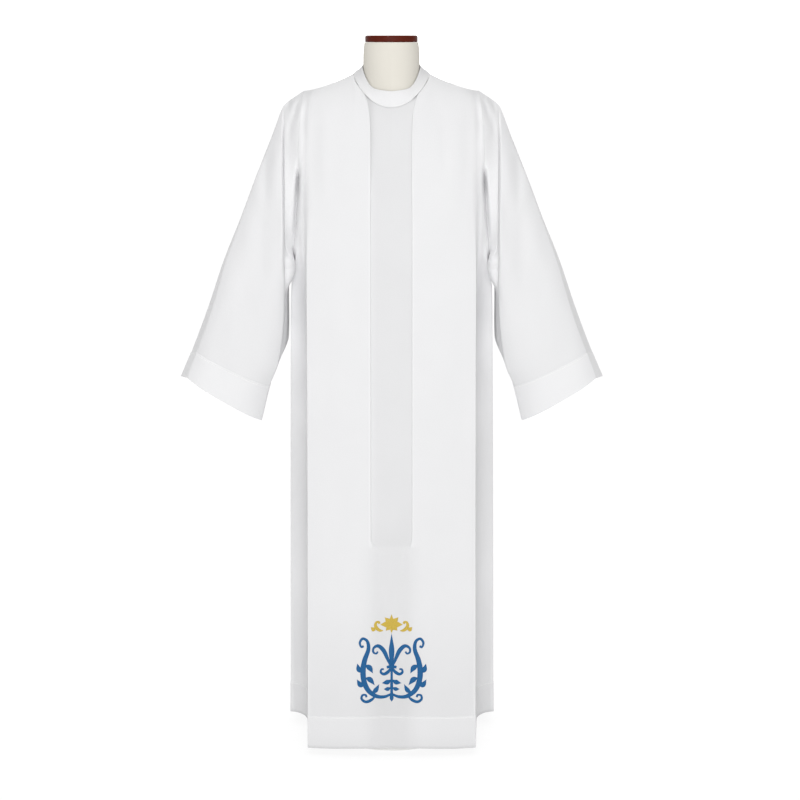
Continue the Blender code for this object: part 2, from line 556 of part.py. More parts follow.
def make_front(cloth):
    """Front panel with the inverted pleat, the two pressed creases and the turned-up hem."""
    pleat = [-1.0, -0.8, -0.62, -0.58, -0.54, -0.06, -0.03, 0.0]
    face = [(across - FOLD_ACROSS) / (1.0 - FOLD_ACROSS)
            for across in (0.160, NECK_POINT * 4.0 / 6.0, NECK_POINT * 5.0 / 6.0, NECK_POINT, 0.39, 0.50,
                           CREASE - 0.012, CREASE, CREASE + 0.012, 0.67, WALL_FOOT, 0.80, 0.86, SIDE_FOLD,
                           0.966, 1.0)]
    places = np.array(pleat + face)
    up = panel_rows((0.20, 0.297, 0.332, 0.367, 0.387, 0.398, 0.402, 0.406, 0.411, 0.422, 0.50, 0.60, 0.74))
    points = mirrored(places, front_panel, up)
    half = np.where(places > 0.0, FOLD_ACROSS + (1.0 - FOLD_ACROSS) * places, 0.0)
    across = np.concatenate((half[::-1], half[1:]))
    square = square_seams(points.shape[:2], across, up)
    points[..., 1] -= np.where(square, SEAM_GAP / 2.0, 0.0)
    outside = hem_thickness(points[..., 2] - points[:, :1, 2], HEM_BAND)
    inside = np.full(outside.shape, WALL / 2.0)
    normals = panel_normals(points, square, up, True)
    return wall_object("front", points, normals, outside, inside, False, cloth)


def make_back(cloth):
    """Back panel, plain, with the turned-up hem."""
    neck = [NECK_POINT * step / 6.0 for step in range(7)]
    places = np.array(neck + [0.39, 0.5, 0.585, CREASE, 0.615, 0.68, WALL_FOOT, 0.84, SIDE_FOLD, 0.965, 1.0])
    up = panel_rows((0.20, 0.40, 0.60, 0.74))
    points = mirrored(places, back_panel, up)
    across = np.concatenate((places[::-1], places[1:]))
    square = square_seams(points.shape[:2], across, up)
    points[..., 1] += np.where(square, SEAM_GAP / 2.0, 0.0)
    outside = hem_thickness(points[..., 2] - points[:, :1, 2], HEM_BAND)
    inside = np.full(outside.shape, WALL / 2.0)
    normals = panel_normals(points, square, up, False)
    return wall_object("back", points[::-1], normals[::-1], outside[::-1], inside, False, cloth)


def make_sleeve(name, side, cloth):
    """One sleeve as a closed tube of rings; side is 1 for +X and -1 for -X. Its columns start at the rows of
    the panels' armhole edges, so that both sides of the seam have the same corners."""
    down, up = armhole_loops(ARMHOLE_ROWS[-2:0:-1], True), armhole_loops(ARMHOLE_ROWS, False)
    loops = np.concatenate((down, up))
    along = np.array([0.0, 0.05, 0.10, 0.115, 0.13, 0.19, 0.28, 0.39, 0.50, 0.60, 0.69, 0.77, 0.84,
                      CUFF_START, CUFF_START + 0.012, 0.95, 1.0])
    points = sleeve(along[None, :] + 0.0 * loops[:, None], loops[:, None] + 0.0 * along[None, :])
    points[..., 0] *= side
    outside = np.where(along > CUFF_START, WALL / 2.0 + HEM_EXTRA, WALL / 2.0) + 0.0 * points[..., 0]
    inside = np.full(outside.shape, WALL / 2.0)
    normals = grid_normals(points, True) * side
    normals[:, 0] = armhole_mitre(loops)[1] * np.array((side, 1.0, 1.0))
    if side < 0:
        points = points[::-1]
        normals = normals[::-1]
    return wall_object(name, points, normals, outside, inside, True, cloth)


def make_neckband(cloth):
    """Round neckband, a double strip closed all round, standing on the neck seam."""
    angles = np.linspace(0.0, 2.0 * math.pi, 24, endpoint=False)
    quarter = np.abs(np.arcsin(np.sin(angles)))
    front = np.cos(angles) >= 0.0
    side = np.sign(np.sin(angles))
    low_front = oval(quarter, NECK_HALF_WIDTH, NECK_FRONT, NECK_FRONT_HEIGHT, NECK_SIDE_HEIGHT)
    low_back = oval(quarter, NECK_HALF_WIDTH, NECK_BACK, NECK_BACK_HEIGHT, NECK_SIDE_HEIGHT)
    top_half, top_side = BAND_TOP_HALF_WIDTH, BAND_TOP_SIDE_HEIGHT
    high_front = oval(quarter, top_half, BAND_TOP_FRONT, BAND_TOP_FRONT_HEIGHT, top_side)
    high_back = oval(quarter, top_half, BAND_TOP_BACK, BAND_TOP_BACK_HEIGHT, top_side)
    low = np.stack([np.where(front, a, b) for a, b in zip(low_front, low_back)], axis=-1)
    high = np.stack([np.where(front, a, b) for a, b in zip(high_front, high_back)], axis=-1)
    low[..., 0] *= side
    high[..., 0] *= side
    depth = np.linalg.norm(high - low, axis=-1, keepdims=True)
    low = low + (high - low) / depth * BAND_SEAM_GAP
    parts = np.array([0.0, 0.5, 1.0])
    points = low[:, None, :] + (high - low)[:, None, :] * parts[None, :, None]
    half = np.full(points.shape[:2], BAND_WALL / 2.0)
    return wall_object("neckband", points, grid_normals(points, True), half, half, True, cloth)


def make_dress_form(linen):
    """Limbless torso and neck, one closed skin: front and back halves, armhole plates, neck, both ends."""
    places = np.array([0.0, 0.10, 0.20, NECK_POINT, 0.39, 0.50, 0.60, 0.70, 0.80, 0.90, 1.0])
    up = np.array((0.0, 0.1, 0.21, 0.33, 0.45, 0.58, 0.70, 0.83, 0.92, 1.0) + SHOULDER_ROWS)
    mesh = bmesh.new()
    sides = {}
    for front, levels in ((True, FORM_FRONT_LEVELS), (False, FORM_BACK_LEVELS)):
        grid = panel(levels, places[:, None] + 0.0 * up[None, :], up[None, :] + 0.0 * places[:, None], front,
                     FORM_BOTTOM, FORM_NECK_INSET)
        drop = FORM_DROP + FORM_NECK_DROP * np.clip(1.0 - places / NECK_POINT, 0.0, 1.0)
        grid[..., 2] -= drop[:, None] * np.clip(up - 1.0, 0.0, 1.0)[None, :]
        sides[front] = grid
    plate_middle = 0.5 * (sides[True][-1] + sides[False][-1])
    plate_middle[:, 0] += FORM_PLATE_BULGE * (sides[False][-1] - sides[True][-1])[:, 1]
    right = np.concatenate((sides[True], plate_middle[None], sides[False][::-1]), axis=0)
    left = right[::-1][1:-1].copy()
    left[..., 0] *= -1.0
    ring = np.concatenate((right, left), axis=0)
    skin = [[mesh.verts.new(point) for point in column_points] for column_points in ring]
    for here, after in zip(skin, skin[1:] + skin[:1]):
        for c in range(len(up) - 1):
            mesh.faces.new((here[c], after[c], after[c + 1], here[c + 1]))
    bmesh.ops.remove_doubles(mesh, verts=mesh.verts, dist=0.00001)
    open_edges = [edge for edge in mesh.edges if edge.is_boundary]
    neck_edges = [edge for edge in open_edges if edge.verts[0].co.z > SHOULDER_START]
    bottom_edges = [edge for edge in open_edges if edge.verts[0].co.z < SHOULDER_START]
    bmesh.ops.holes_fill(mesh, edges=bottom_edges, sides=0)
    loop = neck_edges
    for half_width, front_y, back_y, front_height, back_height in NECK_RINGS:
        grown = bmesh.ops.extrude_edge_only(mesh, edges=loop)["geom"]
        verts = [item for item in grown if isinstance(item, bmesh.types.BMVert)]
        loop = [item for item in grown if isinstance(item, bmesh.types.BMEdge)]
        for vert in verts:
            reach = abs(front_y) if vert.co.y < 0.0 else back_y
            angle = math.atan2(vert.co.x / half_width, -vert.co.y / reach)
            depth = abs(front_y) if math.cos(angle) > 0.0 else back_y
            blend = 0.5 - 0.5 * math.cos(angle)
            vert.co = (half_width * math.sin(angle), -depth * math.cos(angle),
                       front_height + (back_height - front_height) * blend)
    bmesh.ops.holes_fill(mesh, edges=loop, sides=0)
    return finish("dress_form", mesh, linen)


def make_turned(name, profile, material):
    """Round solid turned about the Z axis from (radius, height) pairs; the first and last lie on the axis."""
    mesh = bmesh.new()
    rings = []
    for radius, height in profile:
        turns = np.linspace(0.0, 2.0 * math.pi, ROUND_SEGMENTS, endpoint=False) if radius > 0.0 else [0.0]
        corners = [(radius * math.cos(turn), radius * math.sin(turn), height) for turn in turns]
        rings.append([mesh.verts.new(corner) for corner in corners])
    for low, high in zip(rings, rings[1:]):
        for k in range(ROUND_SEGMENTS):
            after = (k + 1) % ROUND_SEGMENTS
            if len(low) == 1:
                mesh.faces.new((low[0], high[after], high[k]))
            elif len(high) == 1:
                mesh.faces.new((low[k], low[after], high[0]))
            else:
                mesh.faces.new((low[k], low[after], high[after], high[k]))
    return finish(name, mesh, material)


def make_neck_cap(wood):
    """Turned wooden cap, a flat disc with a small rounded edge."""
    low = NECK_TOP_HEIGHT + FIT_GAP
    high = low + CAP_HEIGHT
    profile = [(0.0, low), (CAP_RADIUS - CAP_EDGE, low), (CAP_RADIUS, low + CAP_EDGE),
               (CAP_RADIUS, high - 2.0 * CAP_EDGE), (CAP_RADIUS - 0.6 * CAP_EDGE, high - 0.6 * CAP_EDGE),
               (CAP_RADIUS - 2.0 * CAP_EDGE, high), (0.0, high)]
    return make_turned("neck_cap", profile, wood)


def make_stand(steel):
    """Pole under the torso and the round plate that it stands on, with its hub."""
    top = BASE_THICKNESS
    plate = [(0.0, 0.0), (BASE_RADIUS - BASE_EDGE, 0.0), (BASE_RADIUS, BASE_EDGE),
             (BASE_RADIUS, top - BASE_EDGE), (BASE_RADIUS - BASE_EDGE, top), (HUB_RADIUS, top),
             (HUB_RADIUS, HUB_HEIGHT - BASE_EDGE), (HUB_RADIUS - BASE_EDGE, HUB_HEIGHT), (0.0, HUB_HEIGHT)]
    make_turned("stand_base", plate, steel)
    low = HUB_HEIGHT + FIT_GAP
    high = FORM_BOTTOM - FIT_GAP
    pole = [(0.0, low), (POLE_RADIUS, low), (POLE_RADIUS, high), (0.0, high)]
    make_turned("stand_pole", pole, steel)


def main():
    """Clear the scene and build every piece."""
    for thing in list(bpy.data.objects):
        bpy.data.objects.remove(thing, do_unlink=True)
    cloth = make_material("white_cloth", (0.87, 0.87, 0.87), 0.85)
    linen = make_material("cream_linen", (0.76, 0.73, 0.64), 0.9)
    wood = make_material("stained_wood", (0.12, 0.018, 0.012), 0.3)
    steel = make_material("coated_steel", (0.05, 0.05, 0.055), 0.45, 0.6)
    make_front(cloth)
    make_back(cloth)
    make_sleeve("sleeve_left", 1.0, cloth)
    make_sleeve("sleeve_right", -1.0, cloth)
    make_neckband(cloth)
    make_dress_form(linen)
    make_neck_cap(wood)
    make_stand(steel)


main()
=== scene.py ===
"""Alb robe on a limbless dress form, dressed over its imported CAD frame.

Laid out as an add-on and run as a script. Every cloth piece is a thin shell on the same mid surface as its
solid, worked out again here on fine grids, with its creases, hems, stitching and embroidery.
"""
import math

import bmesh
import bpy
import numpy as np
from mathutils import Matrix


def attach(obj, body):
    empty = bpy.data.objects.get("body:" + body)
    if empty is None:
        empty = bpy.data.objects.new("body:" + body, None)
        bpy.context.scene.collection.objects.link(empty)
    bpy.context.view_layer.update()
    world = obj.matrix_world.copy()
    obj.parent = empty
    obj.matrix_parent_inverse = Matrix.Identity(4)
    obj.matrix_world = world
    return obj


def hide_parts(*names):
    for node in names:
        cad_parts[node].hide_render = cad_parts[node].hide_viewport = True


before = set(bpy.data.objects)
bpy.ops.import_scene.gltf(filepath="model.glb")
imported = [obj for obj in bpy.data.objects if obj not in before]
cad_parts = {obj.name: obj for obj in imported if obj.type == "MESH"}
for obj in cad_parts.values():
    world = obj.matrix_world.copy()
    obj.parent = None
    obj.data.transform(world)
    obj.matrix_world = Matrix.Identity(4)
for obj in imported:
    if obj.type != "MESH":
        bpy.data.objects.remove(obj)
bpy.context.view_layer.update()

bl_info = {
    "name": "Alb robe",
    "version": (1, 0, 0),
    "blender": (4, 5, 0),
    "location": "3D View > Sidebar > Alb Robe",
    "description": "Dresses the packed frame of an alb robe on a dress form",
    "category": "Object",
}

# ---- Sizes that the solids fix, in metres ----

SEAM_GAP = 0.0003  # between two pieces that are sewn edge to edge
BAND_SEAM_GAP = 0.0008  # between the neckband and the neck edges, which meet it at an angle
HEM_STEP = 0.003  # height of the step at a hem's upper edge
HEM_FRONT = 0.020  # bottom edge above the floor, at the centre front
HEM_SIDE_RISE = 0.0085  # it is this much higher at the side seams
HEM_CORNER_DROP = 0.0035  # and the cloth hangs this much lower at the creases, where the solids are level
HEM_BAND = 0.074  # depth of the turned-up hem
CUFF_START = 0.90  # where the cuff's turned-up hem starts along the sleeve, 1 at the cuff's edge
CUFF_BAND = 0.0560  # its depth

NECK_HALF_WIDTH = 0.083  # neck seam, from the centre to the shoulder seam
NECK_FRONT, NECK_FRONT_HEIGHT = -0.084, 1.4490
NECK_SIDE_HEIGHT = 1.5140
NECK_BACK, NECK_BACK_HEIGHT = 0.073, 1.5280

SHOULDER_TIP, SHOULDER_TIP_HEIGHT = 0.192, 1.4770  # end of the shoulder seam, where the sleeve starts
SHOULDER_CURVE = 1.5  # how hollow the shoulder line is
SHOULDER_START = 1.300  # the panels start to round over the shoulders at this height
UNDERARM_HEIGHT = 1.095

BAND_TOP_HALF_WIDTH, BAND_TOP_SIDE_HEIGHT = 0.0632, 1.5305  # upper edge of the neckband
BAND_TOP_FRONT, BAND_TOP_FRONT_HEIGHT = -0.0672, 1.4785
BAND_TOP_BACK, BAND_TOP_BACK_HEIGHT = 0.0640, 1.5520
BAND_WALL = 0.0014  # the neckband is double cloth
BAND_LAP = 0.0014  # and lies this far outside the neck edges that it is lapped over
BAND_LAP_RUN = 0.026  # share of the way down to SHOULDER_START that it is lapped
BAND_LAP_PART = 0.10  # length of the lap, as a share of the band's height
BAND_RAISED = 0.03  # share of its height that its lower edge starts above the seam where it isn't lapped
BAND_DIP = 0.0095  # how much lower its upper edge runs between the front and the sides
PLEAT_DIP = 0.0021  # how much further in it lies over the pleat's panel

PLEAT_FOLD = 0.0468  # front folds of the centre inverted pleat, from the centre line
PLEAT_DEPTH = 0.040  # how far the hidden folds lie behind the front
PLEAT_DEPTH_LOST = 0.65  # share of that depth that is lost towards the neck seam
PLEAT_SPACING = 0.0017  # between the layers of the pleat
PLEAT_PRESSED = 0.0011  # the same at the neck seam, where the layers are sewn flat
PLEAT_FULL_AT = 0.850  # the hidden folds grow shallower below this height
PLEAT_LAST_DEPTH = 0.22  # share of their depth that is left where they open
PLEAT_OPENS_AT, PLEAT_OPEN_AT = 0.520, 0.468  # they open out between these heights
PLEAT_LAYERED_AT, PLEAT_EVEN_AT = 0.500, 0.440  # and turn from layers into one even slope between these
PLEAT_END = 0.488  # where the recessed panel is seen to end
PLEAT_FLAT_AT = 0.385  # below this only a shallow trough is left
PLEAT_TROUGH = 0.006  # its depth
TROUGH_REACH = 1.35  # its half width, in half widths of the pleat
PLEAT_FLARE = 6.0  # how late the folds spread apart towards the neck seam

BACK_FOLD_DEPTH = -0.005  # soft folds down the back
BACK_FOLDS = 3.0  # half waves of them between the centre line and the crease

FORM_DROP = 0.0016  # the form's shoulders under the cloth's mid surface
FORM_NECK_INSET, FORM_NECK_DROP = 0.012, 0.010  # the form's neck seam inside the robe's, and below it
FORM_BOTTOM = 0.835
FORM_PLATE_BULGE = 0.07  # how far the closed armhole plate swells, as a share of its depth
NECK_TOP_HEIGHT = 1.5815
CAP_RADIUS, CAP_HEIGHT, CAP_EDGE = 0.0575, 0.0145, 0.0016
POLE_RADIUS = 0.0125
BASE_RADIUS, BASE_THICKNESS, BASE_EDGE = 0.165, 0.010, 0.002
HUB_RADIUS, HUB_HEIGHT, HUB_FILLET = 0.021, 0.030, 0.004
FIT_GAP = 0.0003  # between solids that rest on each other

# ---- Tables of sections ----
# Half sections of a panel at several heights. From the centre line a section runs to the pressed crease, back
# along the side wall, out to the side fold and round it to the side seam or, above the underarm, the armhole.
# Columns: height, centre y, crease x and y, wall x and y, fold x and y, seam x and y.

def in_tenths(*rows):
    """A table whose numbers are tenths of a millimetre, in metres."""
    return np.array(rows) / 10000.0


FRONT_LEVELS = in_tenths(
    (200, -1970, 1894, -1830, 1975, -350, 2400, 0, 2368, 200),
    (5500, -1730, 1857, -1560, 1930, -400, 2335, 0, 2302, 200),
    (9000, -1560, 1838, -1400, 1905, -450, 2284, 0, 2255, 200),
    (10400, -1495, 1834, -1335, 1900, -560, 2250, -40, 2232, 200),
    (10950, -1468, 1832, -1308, 1896, -660, 2160, -300, 2195, 200),
    (11120, -1460, 1831, -1300, 1895, -710, 2125, -440, 2180, -220),
    (11500, -1440, 1830, -1280, 1894, -820, 2050, -700, 2136, -630),
    (12200, -1405, 1825, -1230, 1890, -920, 2000, -800, 2076, -750),
    (13000, -1340, 1790, -1120, 1880, -950, 1965, -830, 2020, -790))
BACK_LEVELS = in_tenths(
    (200, 1920, 1800, 1800, 2050, 1100, 2350, 460, 2368, 200),
    (5500, 1685, 1760, 1565, 1990, 1000, 2290, 440, 2302, 200),
    (9000, 1540, 1720, 1420, 1950, 940, 2245, 420, 2255, 200),
    (10400, 1465, 1702, 1335, 1928, 920, 2195, 460, 2232, 200),
    (10950, 1438, 1696, 1302, 1916, 920, 2150, 540, 2195, 200),
    (11120, 1430, 1694, 1292, 1912, 930, 2130, 620, 2175, 460),
    (11500, 1410, 1690, 1260, 1900, 930, 2070, 750, 2120, 660),
    (12200, 1370, 1680, 1200, 1880, 920, 2020, 780, 2070, 740),
    (13000, 1310, 1660, 1120, 1850, 900, 1960, 790, 2020, 750))
FORM_FRONT_LEVELS = in_tenths(
    (8350, -980, 900, -840, 1250, -600, 1440, -300, 1500, 0),
    (9300, -1060, 1000, -940, 1400, -660, 1600, -340, 1660, 0),
    (11100, -940, 860, -820, 1180, -580, 1350, -300, 1400, 0),
    (12200, -1120, 1020, -980, 1380, -720, 1560, -400, 1620, -40),
    (13000, -1180, 1100, -1060, 1500, -860, 1740, -680, 1840, -600))
FORM_BACK_LEVELS = in_tenths(
    (8350, 1080, 900, 940, 1250, 660, 1440, 340, 1500, 0), (9300, 1180, 1000, 1040, 1400, 740, 1600, 380, 1660, 0),
    (11100, 880, 860, 790, 1180, 580, 1350, 300, 1400, 0), (12200, 1060, 1020, 970, 1380, 740, 1560, 440, 1620, 40),
    (13000, 1140, 1100, 1060, 1500, 860, 1740, 680, 1840, 580))
CREASE = 0.60  # places on a half section: 0 the centre line, 1 the side seam
WALL_FOOT = 0.75
SIDE_FOLD = 0.93
NECK_POINT = 0.29  # the neck seam ends here, and the shoulder seam starts
TOP_CREASE_X = 0.172  # where the crease would meet the shoulder seam
FLARE_HOLLOW, FLARE_ROUND = 1.7, 0.75  # the front's side flare is hollow, the back's is rounded

# Rings of a sleeve. Each has four corners: the pressed crease and the inner fold of its front face, the heel
# (the inner edge of its rear face) and the rear edge. Columns: place along the sleeve in ten-thousandths,
# crease x, y and z, middle y of the front face, fold x, y and z, heel x, y and z, middle y of the rear face,
# rear edge x, y and z.
SLEEVE_RINGS = in_tenths(
    (0, 1925, -100, 14765, -720, 2200, 0, 10970, 2200, 300, 10970, 700, 1925, 100, 14765),
    (1000, 2345, -100, 14465, -760, 2318, -620, 11020, 2300, 400, 10850, 730, 2345, 100, 14465),
    (1300, 2405, -120, 14370, -870, 2352, -740, 10920, 2320, 420, 10760, 740, 2412, 120, 14360),
    (2200, 2595, -320, 13815, -900, 2358, -750, 10640, 2335, 430, 10500, 750, 2640, 140, 13800),
    (3500, 2979, -500, 12870, -880, 2368, -730, 10330, 2338, 420, 10200, 750, 3045, 220, 12830),
    (5000, 3309, -560, 11995, -840, 2390, -680, 9900, 2338, 400, 9750, 750, 3400, 300, 11930),
    (6200, 3647, -560, 11110, -800, 2440, -600, 9400, 2348, 360, 9280, 740, 3780, 350, 11030),
    (7600, 4005, -530, 9970, -740, 2560, -460, 8720, 2548, 220, 8740, 710, 4190, 400, 9880),
    (9000, 4370, -470, 9010, -670, 2770, -280, 8200, 2770, 120, 8200, 660, 4600, 450, 8850),
    (10000, 4595, -420, 8437, -620, 2973, -200, 7410, 2973, 100, 7410, 620, 4848, 480, 8292))
ARMHOLE_FADE = 0.10  # the sleeve leaves the armhole's own curve by this place along it
UNDERARM_HALF = 2.3  # the underarm's middle line keeps near the heel: its power of the way to it

# The form's neck, from the neck seam to the cap: half width, front y, back y, height in front and at the back
NECK_RINGS = in_tenths(
    (655, -672, 610, 14600, 15260), (618, -646, 618, 14850, 15400), (618, -640, 618, 15150, 15520),
    (614, -620, 606, 15560, 15620), (590, -590, 580, 15815, 15815))

# The pleat's hidden half, from the centre line, -1, to its front fold, 0. Columns: place, share of the way
# behind the front, turns, share of the fold's distance, the same when open, layer, and layer when open.
PLEAT_KNOTS = np.array((
    (-1.0, 0.0, 0.0, 0.0, 0.0, 2.0, 2.0), (-0.62, 1.0, -1.0, 1.0, 0.45, 2.0, 1.95),
    (-0.58, 1.0, 0.0, 1.0, 0.55, 1.6, 1.85), (-0.54, 1.0, -1.0, 1.0, 0.65, 1.15, 1.7),
    (-0.06, 0.0, 1.0, 1.0, 0.85, 0.85, 0.3), (-0.03, 0.0, 0.0, 1.0, 0.95, 0.4, 0.08),
    (0.0, 0.0, 1.0, 1.0, 1.0, 0.0, 0.0))).T
SIDE_BOTTOM = HEM_FRONT + HEM_SIDE_RISE
UNDERARM_ROW = (UNDERARM_HEIGHT - SIDE_BOTTOM) / (SHOULDER_START - SIDE_BOTTOM)
LOWER_CORNER_ROW, UPPER_CORNER_ROW = 0.850, 1.96  # where the corners of the sleeve's rings start
FRONT_LOOPS = (1.5, 1.0, 0.0, -0.5)  # places on the armhole's loop: underarm, lower and upper corner, tip
BACK_LOOPS = (1.5, 2.0, 3.0, 3.5)
FOLD_ACROSS = PLEAT_FOLD / FRONT_LEVELS[0, 2] * CREASE
MIRROR = np.array((-1.0, 1.0, 1.0))

# ---- Curves ----

def hermite(places, values, tangents, at):
    """Cubic curve through the values at their places, with the given tangents there."""
    steps = np.diff(places)
    at = np.clip(at, places[0], places[-1])
    span = np.clip(np.searchsorted(places, at, side="right") - 1, 0, len(steps) - 1)
    part = (at - places[span]) / steps[span]
    blend = part * part * (3.0 - 2.0 * part)
    lift = part * (1.0 - part) ** 2 * steps[span] * tangents[span]
    sink = part * part * (part - 1.0) * steps[span] * tangents[span + 1]
    return values[span] * (1.0 - blend) + values[span + 1] * blend + lift + sink


def smooth(places, values, at):
    """Cubic curve through the table's values that never overshoots them: each tangent is the harmonic mean of
    the slopes beside it, or level where they differ in sign."""
    slopes = np.diff(values) / np.diff(places)
    same_way = slopes[:-1] * slopes[1:] > 0.0
    total = np.where(same_way, slopes[:-1] + slopes[1:], 1.0)
    middle = np.where(same_way, 2.0 * slopes[:-1] * slopes[1:] / total, 0.0)
    return hermite(places, values, np.concatenate((slopes[:1], middle, slopes[-1:])), at)


def ease(value, low, high):
    """0 below low, 1 above high, and an even S curve between."""
    part = np.clip((value - low) / (high - low), 0.0, 1.0)
    return part * part * (3.0 - 2.0 * part)


def fade(value, low, high):
    """1 below low, 0 above high, and an even S curve between."""
    return 1.0 - ease(value, low, high)


def band(value, start, full, fall, end):
    """Rises from start to full and falls from fall to end."""
    return ease(value, start, full) * fade(value, fall, end)


def bell(value, middle, width):
    """Bell curve: 1 at the middle, 1 / e at one width from it."""
    return np.exp(-((value - middle) / width) ** 2)


def unit(vectors):
    """The same directions at length 1."""
    return vectors / np.linalg.norm(vectors, axis=-1, keepdims=True)


def distances(line):
    """Distance of every point of a line from its first, along the line."""
    return np.concatenate(([0.0], np.cumsum(np.linalg.norm(np.diff(line, axis=0), axis=1))))


# ---- The panels' mid surfaces ----

def shoulder_height(x):
    """Height of the shoulder seam at a distance x from the centre line."""
    rest = np.clip((SHOULDER_TIP - x) / (SHOULDER_TIP - NECK_HALF_WIDTH), 0.0, 1.0)
    return SHOULDER_TIP_HEIGHT + (NECK_SIDE_HEIGHT - SHOULDER_TIP_HEIGHT) * rest ** SHOULDER_CURVE


def oval(angle, half_width, end_y, end_height, side_height):
    """Quarter of a neck line: angle 0 at the centre of the front or back, a right angle at the side."""
    rise = 0.5 * np.sin(angle) ** 2 + 0.5 * (1.0 - np.cos(angle))
    return half_width * np.sin(angle), end_y * np.cos(angle), end_height + (side_height - end_height) * rise


def top_edge(across, front, inset):
    """The neck seam up to the neck point, then the shoulder seam."""
    angle = np.clip(across / NECK_POINT, 0.0, 1.0) * math.pi / 2.0
    end_y, end_height = (NECK_FRONT + inset, NECK_FRONT_HEIGHT) if front else (NECK_BACK - inset, NECK_BACK_HEIGHT)
    neck = oval(angle, NECK_HALF_WIDTH, end_y, end_height, NECK_SIDE_HEIGHT)
    seam_x = np.interp(across, (NECK_POINT, CREASE, 1.0), (NECK_HALF_WIDTH, TOP_CREASE_X, SHOULDER_TIP))
    shoulder = seam_x, 0.0, shoulder_height(seam_x)
    return [np.where(across < NECK_POINT, on_neck, beyond) for on_neck, beyond in zip(neck, shoulder)]


def section(levels, across, height):
    """Point (x, y) of a half section: a gently bowed face, a straight side wall, a flare and the seam."""
    centre_y, crease_x, crease_y, wall_x, wall_y, fold_x, fold_y, seam_x, seam_y = (
        smooth(levels[:, 0], values, height) for values in levels.T[1:])
    ends = (0.0, CREASE, WALL_FOOT, SIDE_FOLD, 1.0)
    face, wall, flare, turn = (np.clip((across - low) / (high - low), 0.0, 1.0) for low, high in zip(ends, ends[1:]))
    hollow = FLARE_HOLLOW if levels is FRONT_LEVELS else FLARE_ROUND
    x = crease_x * face + (wall_x - crease_x) * wall + (fold_x - wall_x) * flare ** hollow + (seam_x - fold_x) * turn
    y = centre_y + (crease_y - centre_y) * face ** 2 + (wall_y - crease_y) * wall
    return x, y + (fold_y - wall_y) * (1.0 - (1.0 - flare) ** hollow) + (seam_y - fold_y) * turn


def hem_height(across):
    """The bottom edge sinks a little towards the creases and rises from there to the sides."""
    rise = ease(across, CREASE, SIDE_FOLD)
    sunk = ease(across, 0.2 * CREASE, 0.8 * CREASE) * (1.0 - rise)
    return HEM_FRONT - HEM_CORNER_DROP * sunk + HEM_SIDE_RISE * rise


def panel(levels, across, up, front, bottom=None, inset=0.0):
    """Mid surface of half a panel. up runs 0 to 1 from the hem to SHOULDER_START and 1 to 2 on to the top
    edge. Above SHOULDER_START the depth falls off as a quarter ellipse at the shoulder seam and as a parabola
    at the neck seam."""
    low = hem_height(across) if bottom is None else bottom
    top_x, top_y, top_z = top_edge(across, front, inset)
    rounding = np.clip(up - 1.0, 0.0, 1.0)
    height = low + (SHOULDER_START - low) * np.clip(up, 0.0, 1.0)
    x, y = section(levels, across, height)
    depth = (1.0 - rounding ** 2) ** np.interp(across, (0.0, NECK_POINT, CREASE), (1.0, 0.72, 0.5))
    late = np.interp(across, (0.17, NECK_POINT), (PLEAT_FLARE, 2.0)) if levels is FRONT_LEVELS else 2.0
    return np.stack((x + (top_x - x) * rounding ** late, top_y + (y - top_y) * depth,
                     height + (top_z - SHOULDER_START) * rounding), axis=-1)


def inward(levels, across, up, front):
    """Unit normal of a panel's mid surface that points into the robe."""
    step = 0.004
    across, up = np.maximum(across, step), np.maximum(up, step)
    right = panel(levels, across + step, up, front) - panel(levels, across - step, up, front)
    above = panel(levels, across, up, front) - panel(levels, across, up - step, front)
    return unit(np.cross(above, right) if front else np.cross(right, above))


def trough(across):
    """Depth of the shallow trough below the pleat: a squared cosine over its width."""
    return PLEAT_TROUGH * np.cos(np.clip(across / FOLD_ACROSS / TROUGH_REACH, 0.0, 1.0) * math.pi / 2.0) ** 2


def front_panel(place, up):
    """Half of the front with its inverted pleat. place runs from the centre line, -1, over the hidden layers
    of the pleat to its front fold, 0, and on to the side seam, 1. The hidden part is an S of three layers
    that opens out below PLEAT_OPENS_AT, and the front goes on below it with a shallow trough."""
    face = FOLD_ACROSS + (1.0 - FOLD_ACROSS) * np.clip(place, 0.0, 1.0)
    low = hem_height(face)
    height = low + (SHOULDER_START - low) * np.clip(up, 0.0, 1.0)
    folded = ease(height, PLEAT_OPEN_AT, PLEAT_OPENS_AT)
    apart = ease(height, PLEAT_EVEN_AT, PLEAT_LAYERED_AT)
    pleated = ease(height, PLEAT_FLAT_AT, PLEAT_OPEN_AT)
    near_neck = ease(up, 1.0, 2.0)
    spacing = PLEAT_SPACING + (PLEAT_PRESSED - PLEAT_SPACING) * near_neck
    turn = PLEAT_SPACING / PLEAT_FOLD * FOLD_ACROSS / 2.0
    left = PLEAT_LAST_DEPTH + (1.0 - PLEAT_LAST_DEPTH) * ease(height, PLEAT_OPENS_AT, PLEAT_FULL_AT)
    behind = FOLD_ACROSS * PLEAT_DEPTH / PLEAT_FOLD * (1.0 - PLEAT_DEPTH_LOST * near_neck) * left
    reach, turns, start, opened, layer, open_layer = (
        np.interp(place, PLEAT_KNOTS[0], values) for values in PLEAT_KNOTS[1:])
    hidden = (start * FOLD_ACROSS + reach * behind + turns * turn) * folded
    hidden = hidden + opened * (FOLD_ACROSS + turn) * (1.0 - folded)
    across = np.where(place <= 0.0, hidden, face + turn * (1.0 - np.clip(place / 0.02, 0.0, 1.0)))
    depth = (layer * apart + open_layer * (1.0 - apart)) * spacing * pleated + trough(across) * (1.0 - pleated)
    return panel(FRONT_LEVELS, across, up, True) + inward(FRONT_LEVELS, across, up, True) * depth[..., None]


